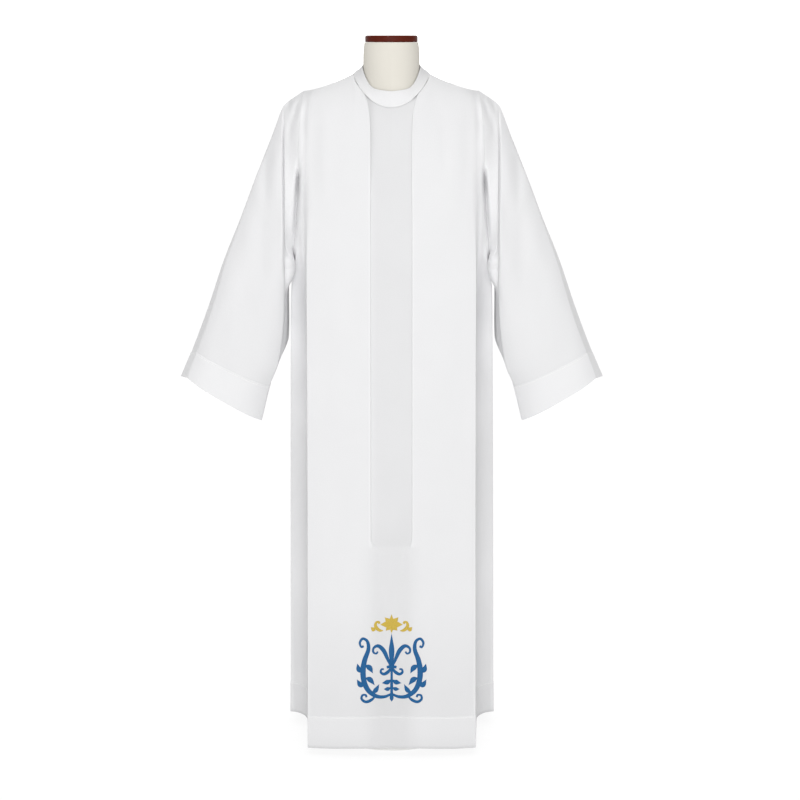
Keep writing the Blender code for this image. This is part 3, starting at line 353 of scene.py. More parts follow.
def back_panel(across, up):
    """Half of the back, plain, with three soft folds that start under the shoulder blades."""
    point = panel(BACK_LEVELS, across, up, False)
    fall = ease(1.0 - up, 0.05, 0.7)
    wave = np.cos(across / CREASE * BACK_FOLDS * math.pi) * (across < CREASE)
    point[..., 1] += BACK_FOLD_DEPTH * fall * wave
    return point


# ---- The sleeves' mid surface ----

def edge_height(up):
    """Height of a place up a panel's side edge."""
    low = SIDE_BOTTOM + (SHOULDER_START - SIDE_BOTTOM) * np.clip(up, 0.0, 1.0)
    return low + (SHOULDER_TIP_HEIGHT - SHOULDER_START) * np.clip(up - 1.0, 0.0, 1.0)


def edge_up(height):
    """Place up a panel's side edge at a height, the inverse of edge_height."""
    low = np.clip((height - SIDE_BOTTOM) / (SHOULDER_START - SIDE_BOTTOM), 0.0, 1.0)
    return low + np.clip((height - SHOULDER_START) / (SHOULDER_TIP_HEIGHT - SHOULDER_START), 0.0, 1.0)


def armhole_corners():
    """Heights of the underarm, of the sleeve's two lower and two upper corners, and of the shoulder tip."""
    return UNDERARM_HEIGHT, edge_height(LOWER_CORNER_ROW), edge_height(UPPER_CORNER_ROW), SHOULDER_TIP_HEIGHT


def armhole_places(loop):
    """Places up the front's and the back's side edge, and which of the two the loop is on. The loop runs
    down the front, under the arm, up the back and over the shoulder."""
    loop = np.mod(loop, 4.0)
    under, low, high, tip = armhole_corners()
    front_up = edge_up(np.interp(loop, (0.0, 1.0, 1.5, 3.49, 3.5, 4.0), (high, low, under, under, tip, high)))
    back_up = edge_up(np.interp(loop, BACK_LOOPS, armhole_corners()))
    return front_up, back_up, ((loop <= 1.5) | (loop >= 3.5))[..., None]


def armhole_loops(rows, front):
    """Loop places of the given rows of the front's or the back's side edge."""
    return np.interp(edge_height(np.array(rows)), armhole_corners(), FRONT_LOOPS if front else BACK_LOOPS)


def armhole(loop, surface=panel):
    """The body's armhole edge, once round, or what another surface function gives along it."""
    front_up, back_up, on_front = armhole_places(loop)
    edge = np.ones_like(front_up)
    return np.where(on_front, surface(FRONT_LEVELS, edge, front_up, True),
                    surface(BACK_LEVELS, edge, back_up, False))


def armhole_mitre(loop):
    """The mean way over the armhole seam from the body to the sleeve, and the normal that both pieces share
    on the seam, so that their rims are parallel however sharply the two meet."""
    step = 0.02
    along_seam = unit(armhole(loop + step) - armhole(loop - step))
    from_body = unit(np.cross(-armhole(loop, inward), along_seam))
    away = sleeve_ring(np.full_like(loop, ARMHOLE_FADE), loop) - armhole(loop)
    to_sleeve = unit(away - along_seam * np.sum(away * along_seam, axis=-1, keepdims=True))
    over = unit(from_body + to_sleeve)
    return over, np.cross(along_seam, over)


def sleeve_ring(along, loop):
    """Point of the sleeve from its table of rings. loop: 0 crease, 1 inner fold, 2 heel, 3 rear edge. Each side
    is straight from corner to corner; both faces swell in the middle, rounding off at their ends."""
    loop = np.mod(loop, 4.0)
    value = [smooth(SLEEVE_RINGS[:, 0], values, along) for values in SLEEVE_RINGS.T]
    crease, fold, heel, rear = value[1:4], value[5:8], value[8:11], value[12:15]
    point = np.zeros(np.broadcast(along, loop).shape + (3,))
    for side, (start, end) in enumerate(((crease, fold), (fold, heel), (heel, rear), (rear, crease))):
        part = np.clip(loop - side, 0.0, 1.0)
        part = 1.0 - (1.0 - part) ** UNDERARM_HALF if side == 1 else part
        inside = (loop >= side) & (loop < side + 1)
        for axis in range(3):
            point[..., axis] = np.where(inside, start[axis] + (end[axis] - start[axis]) * part, point[..., axis])
    for side, middle_y, start, end in ((0, value[4], crease, fold), (2, value[11], heel, rear)):
        bow = 1.0 - np.abs(2.0 * np.clip(loop - side, 0.0, 1.0) - 1.0) ** 3
        swell = bow * (middle_y - 0.5 * (start[1] + end[1]))
        point[..., 1] += np.where((loop >= side) & (loop < side + 1), swell, 0.0)
    return point


def sleeve(along, loop):
    """The rings, blended into the armhole's own curve near the body, with the seam's gap."""
    along = np.asarray(along, dtype=float)
    loop = np.asarray(loop, dtype=float)
    fade = (np.clip(1.0 - along / ARMHOLE_FADE, 0.0, 1.0) ** 1.5)[..., None]
    start = armhole(loop) + armhole_mitre(loop)[0] * SEAM_GAP
    return sleeve_ring(along, loop) + (start - sleeve_ring(np.zeros_like(along), loop)) * fade


# ---- Sizes of the finish ----

STITCH_LINE = 0.0022  # topstitching, from the edge of what it holds down
STITCH_GROOVE, GROOVE_WIDTH = 0.00035, 0.0014  # how deep it pulls the cloth in, and how wide
BAND_STITCHES = (-0.04, 0.915)  # its two lines on the neckband, as shares of the band's height
BAND_GROOVE = 0.030  # half width of the groove along them, as the same share
BAND_EDGE, BAND_ROUNDING = 0.045, 0.048  # how far in its edges are rounded, and the radius, as the same shares
# Painted shade on the neckband's rear half, in units of painted shade
BAND_REAR_LOSS = 1.4  # light lost on its rear half, in losses of a single layer
TUCK_DEPTH = 0.0040  # of the tuck where the sleeve's face laps over its head
TUCK_PLACE, TUCK_WIDTH = 0.104, 0.0075  # along the sleeve
MOTIF_CENTRE = 0.2200  # height of the embroidery's middle above the floor
# Painted shade: how much the cloth's base colour darkens for each unit of the painted light and shade mark
PAINTED_SHADE_STEP = 0.066  # light lost where the cloth is one layer with nothing behind it
VALLEY_DEPTH = 0.0150  # how far the armhole seam is pulled in between the front and the sleeve

# Soft folds, in tenths of a millimetre: from x, z to x, z, how far the line bows sideways, half
# width and depth. A positive depth sinks into the cloth; beside each trough lies a ridge a third as high.
FRONT_FOLDS = (
    (-1560, 14500, -1600, 11900, 40, 130, 16), (1580, 14550, 1540, 11600, -30, 140, 14),
    (-1990, 15000, -1975, 12700, 10, 150, -55), (1990, 15000, 1975, 12750, -10, 150, -53),
    (-1040, 14700, -1250, 12400, 60, 160, 15), (1010, 14650, 1210, 12700, -50, 150, 13),
    (-760, 12300, -820, 8100, 60, 220, 12), (830, 11700, 790, 7000, -50, 240, 13),
    (-1420, 10500, -1500, 6200, 40, 200, 14), (1450, 9800, 1530, 5200, -40, 210, 12),
    (-1150, 7200, -1210, 2200, 80, 260, 16), (1120, 6400, 1240, 1500, -70, 260, 16),
    (-780, 5200, -850, 600, -40, 180, 18), (800, 5400, 870, 500, 40, 180, 18), (-200, 4800, -280, 900, 30, 160, 13),
    (240, 4600, 260, 1100, -30, 170, 12), (-640, 4690, 520, 4640, 10, 24, 9))
SLEEVE_FOLDS = (
    (-1950, 14720, -2140, 14080, 20, 55, 40), (-2130, 14680, -2300, 14330, 20, 50, 36),
    (-2060, 14560, -2240, 13600, 30, 60, 22), (1960, 14730, 2120, 14120, -20, 55, 40),
    (2110, 14690, 2290, 14300, -20, 50, 36), (2080, 14540, 2250, 13700, -30, 60, 22),
    (-2700, 13600, -2740, 12150, 30, 110, 40), (2720, 13550, 2760, 12200, -30, 110, 38),
    (-2760, 12500, -2850, 10300, 40, 160, 34), (2780, 12450, 2880, 10200, -40, 160, 32),
    (-3050, 11400, -3350, 9200, 60, 200, 30), (3080, 11300, 3380, 9300, -60, 200, 28),
    (-3500, 10400, -3950, 8600, 60, 180, 22), (3520, 10300, 3960, 8700, -60, 180, 22))
BACK_FOLDS_SOFT = (
    (-1250, 14300, -900, 12300, 80, 160, 30), (1280, 14250, 950, 12400, -80, 160, 28),
    (-1640, 13600, -1450, 11200, 60, 150, 32), (1660, 13500, 1480, 11400, -60, 150, 30),
    (-450, 11800, -550, 5200, 60, 220, 40), (500, 11200, 620, 4600, -60, 220, 38),
    (-1200, 10200, -1340, 3300, -80, 240, 42), (1180, 9600, 1330, 2800, 80, 250, 40),
    (50, 9000, -60, 2600, 40, 180, 30), (-2640, 13300, -2760, 11000, 40, 130, 36),
    (2660, 13200, 2780, 10900, -40, 130, 34), (-3100, 11200, -3500, 9000, 60, 180, 30),
    (3120, 11100, 3520, 8900, -60, 180, 30))

# Painted light on the robe's front faces, mostly in the hollows under the arm, in units of painted shade; a negative
# amount is painted shade. On areas: amount, the four places of a band across and the four of one up. On lines:
# amount, place across, half width and the four places up. On the side strips alone: amount, height of the middle and
# half height.
SIDE_STRIP = (0.185, 0.190, 0.229, 0.236)
SLEEVE_HEAD = (0.165, 0.195, 0.226, 0.234)
PAINTED_LIGHT_AREAS = ((2.4, SIDE_STRIP, (0.82, 0.94, 1.11, 1.17)), (1.0, SIDE_STRIP, (0.97, 1.08, 1.11, 1.17)),
                (0.35, SIDE_STRIP, (0.17, 0.36, 0.85, 0.94)), (1.0, SLEEVE_HEAD, (1.13, 1.20, 1.42, 1.47)))
PAINTED_LIGHT_LINES = ((-1.9, 0.2005, 0.006, (1.09, 1.115, 1.26, 1.32)), (2.5, 0.1885, 0.006, (1.11, 1.17, 1.36, 1.42)))
PAINTED_LIGHT_PATCHES = ((0.5, 0.37, 0.085), (-0.35, 0.68, 0.09))
# Painted light on the side strips grows by one unit per STRIP_RUN inwards of this place; outwards of it they get
# painted shade
STRIP_EVEN_AT, STRIP_RUN = 0.203, 0.028  # the side strips gain one loss in a run inwards of this place
# Painted shade along the crest of the shoulder
CREST = ((NECK_HALF_WIDTH, SHOULDER_TIP, 0.235), (NECK_SIDE_HEIGHT, SHOULDER_TIP_HEIGHT, 1.442))  # x and heights
CREST_LOSS, CREST_WIDTH, CREST_REACH = 1.6, 0.017, (0.145, 0.180, 0.226, 0.240)

# Painted shade on the front, in units of painted shade, and the half widths over which it is painted; a negative amount
# is painted light
# Painted shadow beside the top of the left fold and painted light below it; painted light just inside both folds and on
# the hem's stitched line; painted shade at the pleat's end, on the hem, just above it and along the bottom edge
LEFT_FOLD_TOP, LEFT_FOLD_BELOW, LEFT_FOLD_WIDTH = 2.6, -0.7, 0.009  # beside the pleat's left fold
FOLD_LINE, FOLD_LINE_WIDTH = -0.75, 0.0030  # just inside both folds
PLEAT_FOOT, PLEAT_FOOT_HEIGHT = 0.45, 0.055  # at the pleat's end
HEM_LOSS, HEM_LINE, HEM_LINE_WIDTH = 0.35, -0.5, 0.0028  # on the hem, and on its stitched line
ABOVE_HEM = 0.9
EDGE_LINE, EDGE_LINE_WIDTH, EDGE_SHADE, EDGE_SHADE_HEIGHT = 2.4, 0.004, 0.6, 0.045  # at the bottom edge

# Light from the surroundings: the level all round, and fields that come in along an axis of the direction
STUDIO_DIM = 0.18
STUDIO_FIELDS = (("Y", -0.60, -0.97, 1.25), ("Z", 0.72, 0.95, 2.7), ("Y", 0.48, 0.97, 2.35))

# ---- Colours and settings ----

def linear(hex_value):
    """Linear colour of an sRGB hex value such as #EDEDEC."""
    channels = [int(hex_value[k:k + 2], 16) / 255.0 for k in (1, 3, 5)]
    return tuple(c / 12.92 if c <= 0.04045 else ((c + 0.055) / 1.055) ** 2.4 for c in channels)


def colour_property(name, description, hex_value):
    """A colour setting whose default is an sRGB hex value."""
    return bpy.props.FloatVectorProperty(name=name, description=description, default=linear(hex_value),
                                         subtype="COLOR", size=3, min=0.0, max=1.0)


def length_property(name, description, default):
    """A length setting in metres."""
    return bpy.props.FloatProperty(name=name, description=description, default=default, min=0.0,
                                   precision=5, unit="LENGTH", subtype="DISTANCE")


class RobeSettings(bpy.types.PropertyGroup):
    """Sizes and colours of the robe's cloth and sewing."""
    thickness: length_property("Cloth thickness", "Thickness of one layer of the cloth", 0.0008)
    hem_lift: length_property("Hem lift", "How far a turned-up hem stands out", 0.0010)
    thread_spacing: length_property("Thread spacing", "Spacing of the threads as drawn", 0.0011)
    stitch_length: length_property("Stitch length", "Length of one stitch", 0.0026)
    stitch_pitch: length_property("Stitch pitch", "From one stitch to the next", 0.0032)
    stitch_radius: length_property("Stitch radius", "Half thickness of the sewing thread", 0.00026)
    cloth: colour_property("Cloth", "Colour of a single layer of the cloth", "#DDDDDE")
    # The hem colour also paints light on the neckband's front
    hem: colour_property("Hem", "Colour of the cloth where it lies double", "#E2E2E3")
    thread: colour_property("Sewing thread", "Colour of the topstitching", "#F2F2F0")


class EmbroiderySettings(bpy.types.PropertyGroup):
    """Sizes and colours of the embroidery."""
    relief: length_property("Relief", "Height of the satin stitch above the cloth", 0.0011)
    gold: colour_property("Gold thread", "Colour of the star and the buds", "#D2B54C")
    blue: colour_property("Blue thread", "Colour of the lily and its branches", "#1B6097")


class FormSettings(bpy.types.PropertyGroup):
    """Colours of the dress form and its stand."""
    linen: colour_property("Linen", "Colour of the form's linen cover", "#E0DCD2")
    wood: colour_property("Wood", "Colour of the stained neck cap", "#5C2216")
    metal: colour_property("Metal", "Colour of the coated stand", "#E6E6E4")


class StageSettings(bpy.types.PropertyGroup):
    """The floor and the light."""
    floor: colour_property("Floor", "Colour of the floor", "#5C5C5C")
    brightness: bpy.props.FloatProperty(name="Brightness", description="Strength of the surrounding light",
                                        default=0.752, min=0.0, max=5.0)
    key: bpy.props.FloatProperty(name="Key light", description="Power of the large light in front",
                                 default=75.0, min=0.0, max=1000.0, unit="POWER", subtype="POWER")


def settings():
    """The settings of this scene."""
    scene = bpy.context.scene
    return scene.alb_robe, scene.alb_embroidery, scene.alb_form, scene.alb_stage


# ---- Materials ----

WAVE_PERIOD = math.pi / 10.0  # a Wave texture's bands repeat at this distance when its scale is 1
SATIN_PITCH = 0.0009  # from thread to thread of the satin stitch, as drawn
LINEN_PITCH = 0.0012  # the same of the form's linen


def add_node(tree, kind, inputs, **options):
    """Add one shader node. options are its own settings and inputs its sockets, each a value or an output."""
    made = tree.nodes.new("ShaderNode" + kind)
    for name, value in options.items():
        setattr(made, name, value)
    for name, value in inputs.items():
        if isinstance(value, bpy.types.NodeSocket):
            tree.links.new(value, made.inputs[name])
        else:
            made.inputs[name].default_value = value
    return made


def calculated(tree, operation, *values):
    """Result of a Math node."""
    return add_node(tree, "Math", dict(enumerate(values)), operation=operation).outputs[0]


def noise(tree, place, scale, detail, distortion=0.0, **options):
    """Strength of a noise texture."""
    inputs = {"Vector": place, "Scale": scale, "Detail": detail, "Distortion": distortion}
    return add_node(tree, "TexNoise", inputs, **options).outputs["Fac"]


def cloth_place(tree):
    """Distance along and across the threads."""
    return add_node(tree, "UVMap", {}, uv_map="Cloth").outputs["UV"]


def object_place(tree):
    """Place in the object's own frame."""
    return add_node(tree, "TexCoord", {}).outputs["Object"]


def mix_colour(tree, factor, first, second):
    """A blend of two colours by a factor, as a colour output."""
    return add_node(tree, "Mix", {"Factor": factor, 6: (*first, 1.0), 7: (*second, 1.0)}, data_type="RGBA").outputs[2]


def shaded(colour, share):
    """The same colour, lighter or darker."""
    return tuple(min(1.0, share * channel) for channel in colour)


def new_material(name):
    """An empty material and its node tree."""
    material = bpy.data.materials.new(name)
    material.use_nodes = True
    return material, material.node_tree


def finish(material, base, relief, values):
    """Give a new material its base colour, its relief (height, strength, distance) and its other values."""
    tree = material.node_tree
    shader = tree.nodes["Principled BSDF"]
    if relief:
        bump = add_node(tree, "Bump", dict(zip(("Height", "Strength", "Distance"), relief)))
        tree.links.new(bump.outputs["Normal"], shader.inputs["Normal"])
    if isinstance(base, bpy.types.NodeSocket):
        tree.links.new(base, shader.inputs["Base Color"])
    else:
        shader.inputs["Base Color"].default_value = (*base, 1.0)
    for name, value in values.items():
        shader.inputs[name].default_value = value
    return material


def woven_height(tree, place, spacing):
    """Height of a plain weave: two crossed sine waves multiplied, so the threads go over and under, with long
    thin slubs along both thread directions."""
    bands = {"Vector": place, "Scale": WAVE_PERIOD / (2.0 * spacing), "Distortion": 0.0}
    waves = [add_node(tree, "TexWave", bands, bands_direction=way).outputs["Fac"] for way in "XY"]
    height = calculated(tree, "MULTIPLY", *(calculated(tree, "ADD", wave, -0.5) for wave in waves))
    for stretch in ((700.0, 24.0, 1.0), (24.0, 700.0, 1.0)):
        thread = add_node(tree, "Mapping", {"Vector": place, "Scale": stretch}).outputs["Vector"]
        slub = noise(tree, thread, 1.0, 2.0, noise_dimensions="2D")
        height = calculated(tree, "MULTIPLY_ADD", slub, 0.9, height)
    return height


def white_cloth():
    """Plain-woven white polyester and wool, matt: fine threads, faint slubs, a dry surface with little sheen.
    The real threads lie about 0.4 mm apart; they are drawn about three times as coarse so that they show."""
    robe = settings()[0]
    material, tree = new_material("white_plain_weave")
    place = cloth_place(tree)
    doubled, recessed = (add_node(tree, "Attribute", {}, attribute_name=mark).outputs["Fac"]
                         for mark in ("doubled", "recessed"))
    cloud = noise(tree, place, 9.0, 3.0, noise_dimensions="2D")
    fleck = noise(tree, place, 420.0, 2.0, noise_dimensions="2D")
    grain = calculated(tree, "MULTIPLY_ADD", fleck, 0.05, calculated(tree, "MULTIPLY_ADD", cloud, 0.035, 0.9675))
    # Painted light and shade: the base colour darkens by PAINTED_SHADE_STEP for each unit of the mark, and lightens
    # where the mark is negative
    single = calculated(tree, "MULTIPLY_ADD", recessed, -PAINTED_SHADE_STEP, grain)
    base = add_node(tree, "VectorMath", {0: mix_colour(tree, doubled, robe.cloth, robe.hem), 1: single},
                    operation="MULTIPLY").outputs[0]
    return finish(material, base, (woven_height(tree, place, robe.thread_spacing), 0.35, 0.00018),
                  {"Roughness": 0.82, "Sheen Weight": 0.08, "Sheen Roughness": 0.4, "Specular IOR Level": 0.25})


def sewing_thread():
    """White spun polyester sewing thread, slightly glossier than the cloth."""
    material, tree = new_material("white_spun_thread")
    ply = noise(tree, object_place(tree), 2500.0, 1.0)
    return finish(material, settings()[0].thread, (ply, 0.3, 0.0001), {"Roughness": 0.55})


def satin_thread(name, colour):
    """Rayon embroidery thread laid in satin stitch: bright, with a soft gloss across the threads. The threads
    run across each stroke, 0.4 mm apart, and are drawn about twice as coarse."""
    material, tree = new_material(name)
    bands = {"Vector": cloth_place(tree), "Scale": WAVE_PERIOD / SATIN_PITCH, "Distortion": 1.2, "Detail": 1.0,
             "Detail Scale": 0.6}
    threads = add_node(tree, "TexWave", bands, bands_direction="X").outputs["Fac"]
    # Painted shade in the grooves and painted highlight on the threads' tops, mixed by the same waves as the relief
    base = mix_colour(tree, threads, shaded(colour, 0.62), shaded(colour, 1.12))
    return finish(material, base, (threads, 0.55, 0.00025), {"Roughness": 0.50, "Specular IOR Level": 0.22})


def linen():
    """Cream linen stretched over the form: an even, slightly irregular weave, matt and dry."""
    colour = settings()[2].linen
    material, tree = new_material("cream_linen")
    place = cloth_place(tree)
    base = mix_colour(tree, noise(tree, place, 14.0, 4.0), shaded(colour, 0.86), colour)
    return finish(material, base, (woven_height(tree, place, LINEN_PITCH), 0.5, 0.0002), {"Roughness": 0.88})


def stained_wood():
    """Beech stained red-brown with a satin finish: fine straight grain, a soft dull light on it."""
    colour = settings()[2].wood
    material, tree = new_material("stained_satin_beech")
    drawn = add_node(tree, "Mapping", {"Vector": object_place(tree), "Scale": (30.0, 420.0, 420.0)})
    grain = noise(tree, drawn.outputs["Vector"], 1.0, 5.0, 0.4)
    base = mix_colour(tree, grain, shaded(colour, 0.45), shaded(colour, 1.25))
    return finish(material, base, (grain, 0.08, 0.0002), {"Roughness": 0.45, "Specular IOR Level": 0.08})


def coated_steel():
    """Mild steel tube and plate with a pale powder coat: fine orange peel, satin gloss."""
    material, tree = new_material("powder_coated_steel")
    peel = noise(tree, object_place(tree), 900.0, 2.0)
    return finish(material, settings()[2].metal, (peel, 0.15, 0.0002), {"Roughness": 0.45})


def paper_floor():
    """Pale seamless paper, matt, lit evenly from within so that it stays white."""
    return finish(new_material("pale_studio_paper")[0], settings()[3].floor, None,
                  {"Roughness": 0.95, "Specular IOR Level": 0.1, "Emission Color": (1.0, 1.0, 1.0, 1.0),
                   "Emission Strength": 0.90})


def made_once(name, make):
    """The material of that name, made if it isn't there yet."""
    return bpy.data.materials.get(name) or make()


# ---- Meshes from grids ----

def spread(*stretches):
    """Places along a line: each stretch is (start, end, steps), even within itself."""
    parts = [np.linspace(start, end, steps, endpoint=False) for start, end, steps in stretches]
    return np.concatenate(parts + [np.array([stretches[-1][1]])])


def corners_of(grid):
    """The four corners of every cell of a grid, row by row: here, next row, next row and column, next column."""
    cells = np.stack((grid[:-1, :-1], grid[1:, :-1], grid[1:, 1:], grid[:-1, 1:]), axis=2)
    return cells.reshape(-1, *cells.shape[2:])


def make_piece(name, points, faces, uvs, material, sharp=50.0, marks=None):
    """One finished mesh object at the origin, smooth-shaded, riding on the frame. marks are the point
    attributes that its material reads."""
    mesh = bpy.data.meshes.new(name)
    mesh.from_pydata(points, [], faces)
    layer = mesh.uv_layers.new(name="Cloth")
    layer.data.foreach_set("uv", np.asarray(uvs, dtype=np.float32).ravel())
    for mark, values in (marks or {}).items():
        mesh.attributes.new(mark, "FLOAT", "POINT").data.foreach_set("value", values.astype(np.float32))
    mesh.shade_smooth()
    mesh.set_sharp_from_angle(angle=math.radians(sharp))
    mesh.materials.append(material)
    piece = bpy.data.objects.new(name, mesh)
    bpy.context.scene.collection.objects.link(piece)
    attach(piece, "root")
    return piece


def lengths_of(points):
    """UV of a grid's points: how far each lies along the middle column and along the middle row."""
    rows, columns = points.shape[:2]
    return np.stack(np.broadcast_arrays(distances(points[:, columns // 2])[:, None],
                                        distances(points[rows // 2])), axis=-1)


def shell(name, middle, normals, outside, inside, closed, material, **marks):
    """Thin closed wall from a grid of rows and columns: an outer skin, middle + normal * outside, an inner
    skin, middle - normal * inside, and the rims between them. closed joins the last row to the first."""
    count = middle.shape[0] * middle.shape[1]
    index = np.arange(count).reshape(middle.shape[:2])
    skins = np.concatenate((middle + normals * outside[..., None], middle - normals * inside[..., None]))
    if closed:
        middle, index = np.vstack((middle, middle[:1])), np.vstack((index, index[:1]))
    place = lengths_of(middle)
    outer, uv = corners_of(index), corners_of(place)
    faces, uvs = [outer, outer[:, ::-1] + count], [uv, uv[:, ::-1]]
    edges = [(index[:, 0], place[:, 0], -1), (index[:, -1], place[:, -1], 1)]
    if not closed:
        edges += [(index[0], place[0], 1), (index[-1], place[-1], -1)]
    for line, uv, way in edges:
        faces.append(np.stack((line[:-1], line[1:], line[1:] + count, line[:-1] + count), axis=1)[:, ::way])
        uvs.append(np.stack((uv[:-1], uv[1:], uv[1:], uv[:-1]), axis=1)[:, ::way])
    marks = {mark: np.tile(values.ravel(), 2) for mark, values in marks.items()}
    return make_piece(name, skins.reshape(-1, 3), np.concatenate(faces), np.concatenate(uvs), material, marks=marks)


def grid_normals(points, closed):
    """Unit normals of a grid: the way along its columns' line crossed with the way along its rows' line."""
    if closed:
        down = np.roll(points, -1, axis=0) - np.roll(points, 1, axis=0)
    else:
        down = np.gradient(points, axis=0)
    return unit(np.cross(down, np.gradient(points, axis=1)))


# ---- Folds ----

def folds(rows, x, z):
    """Depth of the soft folds at (x, z). Each is a bell across its line, 1 in the middle and less a third as
    high a ridge beside it, that swells in over its first quarter and fades out over its last third."""
    total = np.zeros(np.broadcast(x, z).shape)
    for x_start, z_start, x_end, z_end, bow, width, depth in in_tenths(*rows):
        run_x, run_z = x_end - x_start, z_end - z_start
        length = math.hypot(run_x, run_z)
        part = ((x - x_start) * run_x + (z - z_start) * run_z) / length ** 2
        aside = ((x - x_start) * run_z - (z - z_start) * run_x) / length
        aside = aside - bow * np.sin(np.clip(part, 0.0, 1.0) * math.pi)
        ridge = bell(np.abs(aside), 2.1 * width, width) / 3.0
        total += depth * band(part, -0.05, 0.30, 0.60, 1.05) * (bell(aside, 0.0, width) - ridge)
    return total


def ripple(x, z):
    """Very shallow unevenness of hanging cloth: a few sine waves whose lengths have no common measure."""
    slow = np.sin(37.0 * x + 3.1 * z + 0.4) * np.sin(5.3 * z + 1.7) + 0.6 * np.sin(61.0 * x - 4.7 * z + 2.2)
    quick = np.sin(23.0 * x + 29.0 * z) * np.sin(11.0 * x - 17.0 * z + 0.9)
    return 0.00030 * slow + 0.00018 * quick


def armhole_valley(x, z):
    """The hollow between the front's side wall and the sleeve: a bell across a line just outside the armhole
    seam, deepest below the chest."""
    line = 0.2040 + 0.012 * np.clip((1.28 - z) / 0.16, -0.2, 1.2)
    deep = 0.8 * band(z, 1.125, 1.21, 1.285, 1.325) + 0.85 * bell(z, 1.284, 0.026)
    return VALLEY_DEPTH * deep * bell(np.abs(x), line, 0.0042)


def loose(x, z, front):
    """0 on the neck and shoulder seams, which hold the cloth, and 1 from 30 mm below them."""
    x = np.abs(x)
    reach = np.clip(x / NECK_HALF_WIDTH, 0.0, 1.0)
    start = NECK_FRONT_HEIGHT if front else NECK_BACK_HEIGHT
    neck = oval(np.arcsin(reach), NECK_HALF_WIDTH, 0.0, start, NECK_SIDE_HEIGHT)[2]
    seam = np.where(reach < 1.0, neck, shoulder_height(x))
    return fade(z, seam - 0.030, seam - 0.003)


def seam_hold(z):
    """How far the folds run on over the side edges of the panels: over the armhole, not over the side seam."""
    return ease(z, 1.100, 1.135)


def front_drape(x, z):
    """How far the front faces of the robe are pushed back at (x, z)."""
    depth = folds(FRONT_FOLDS + SLEEVE_FOLDS, x, z) + ripple(x, z) + armhole_valley(x, z)
    return depth * loose(x, z, True)


def back_drape(x, z):
    """How far the rear faces of the robe are pushed forward at (x, z)."""
    return (folds(BACK_FOLDS_SOFT, x, z) + ripple(x + 0.31, z - 0.17)) * loose(x, z, False)


def hem_profile(distance, depth, lift):
    """What a turned-up hem adds to the outer skin: lift up to its upper edge, less a small groove that the
    topstitching pulls in."""
    turned_up = 1.0 - np.clip((distance - depth) / HEM_STEP * 2.0, 0.0, 1.0)
    return lift * turned_up - STITCH_GROOVE * bell(distance, depth - STITCH_LINE, GROOVE_WIDTH)


def on_hem(distance, depth):
    """1 on a turned-up hem and 0 beyond it."""
    return (distance <= depth + HEM_STEP / 2.0) * 1.0


def painted_light_and_crest_shade(points):
    """Painted light on the front faces, in units of painted shade: most under the arm, some on the sleeves'
    heads, and on the side strips a little less the further out, down to painted shade at their outer edge. The crest
    of the shoulder gets painted shade."""
    x, y, z = np.abs(points[..., 0]), points[..., 1], points[..., 2]
    strip = band(x, *SIDE_STRIP)
    total = strip * (STRIP_EVEN_AT - x) / STRIP_RUN * fade(z, 0.85, 0.94)
    total += sum(amount * band(x, *across) * band(z, *up) for amount, across, up in PAINTED_LIGHT_AREAS)
    total += sum(amount * bell(x, place, width) * band(z, *up) for amount, place, width, up in PAINTED_LIGHT_LINES)
    total += sum(amount * strip * bell(z, middle, width) for amount, middle, width in PAINTED_LIGHT_PATCHES)
    crest = CREST_LOSS * bell(z, np.interp(x, *CREST), CREST_WIDTH) * band(x, *CREST_REACH)
    return total * fade(y, 0.0, 0.03) - crest


def recess(points):
    """Painted shade on the front, in units of painted shade: 1 on the pleat's recessed panel, which is a single layer,
    and below the pleat 1 in the middle of the trough, fading towards its sides. The pleat's end, the top of its left
    fold, the hem, its bottom edge and the cloth just above it get more; the hem's stitched line and the rest of both
    folds get painted light. The front faces' own painted light is taken off."""
    x, z = points[..., 0], points[..., 2]
    across, raised = np.abs(x), z - points[:, :1, 2]
    doubled = on_hem(raised, HEM_BAND)
    in_pleat = np.abs(np.arange(len(points)) - len(points) // 2)[:, None] < PLEAT_PLACES
    high = ease(z, PLEAT_END - 0.006, PLEAT_END + 0.006)
    below = fade(across, 0.022, 0.074)
    left_fold = (LEFT_FOLD_TOP * ease(z, 1.25, 1.40) + LEFT_FOLD_BELOW) * bell(x, -PLEAT_FOLD, LEFT_FOLD_WIDTH)
    pleat = in_pleat * (1.0 + left_fold + PLEAT_FOOT * bell(z, PLEAT_END, PLEAT_FOOT_HEIGHT))
    pleat = pleat + FOLD_LINE * bell(across, PLEAT_FOLD - 0.001, FOLD_LINE_WIDTH) * fade(z, 1.25, 1.38)
    hem = HEM_LOSS * doubled + HEM_LINE * bell(raised, HEM_BAND - 0.001, HEM_LINE_WIDTH)
    above_hem = ABOVE_HEM * (1.0 - doubled) * fade(raised, 0.09, 0.36) * fade(across, 0.18, 0.19)
    edge = EDGE_LINE * bell(raised, 0.0, EDGE_LINE_WIDTH) + EDGE_SHADE * fade(raised, 0.0, EDGE_SHADE_HEIGHT)
    return pleat * high + below * (1.0 - high) + hem + above_hem + edge * (1.0 - 0.6 * below) - painted_light_and_crest_shade(points)


# ---- Cloth pieces ----

def nearest(values, wanted):
    """Index of the value nearest to the wanted one."""
    return int(np.argmin(np.abs(values - wanted)))


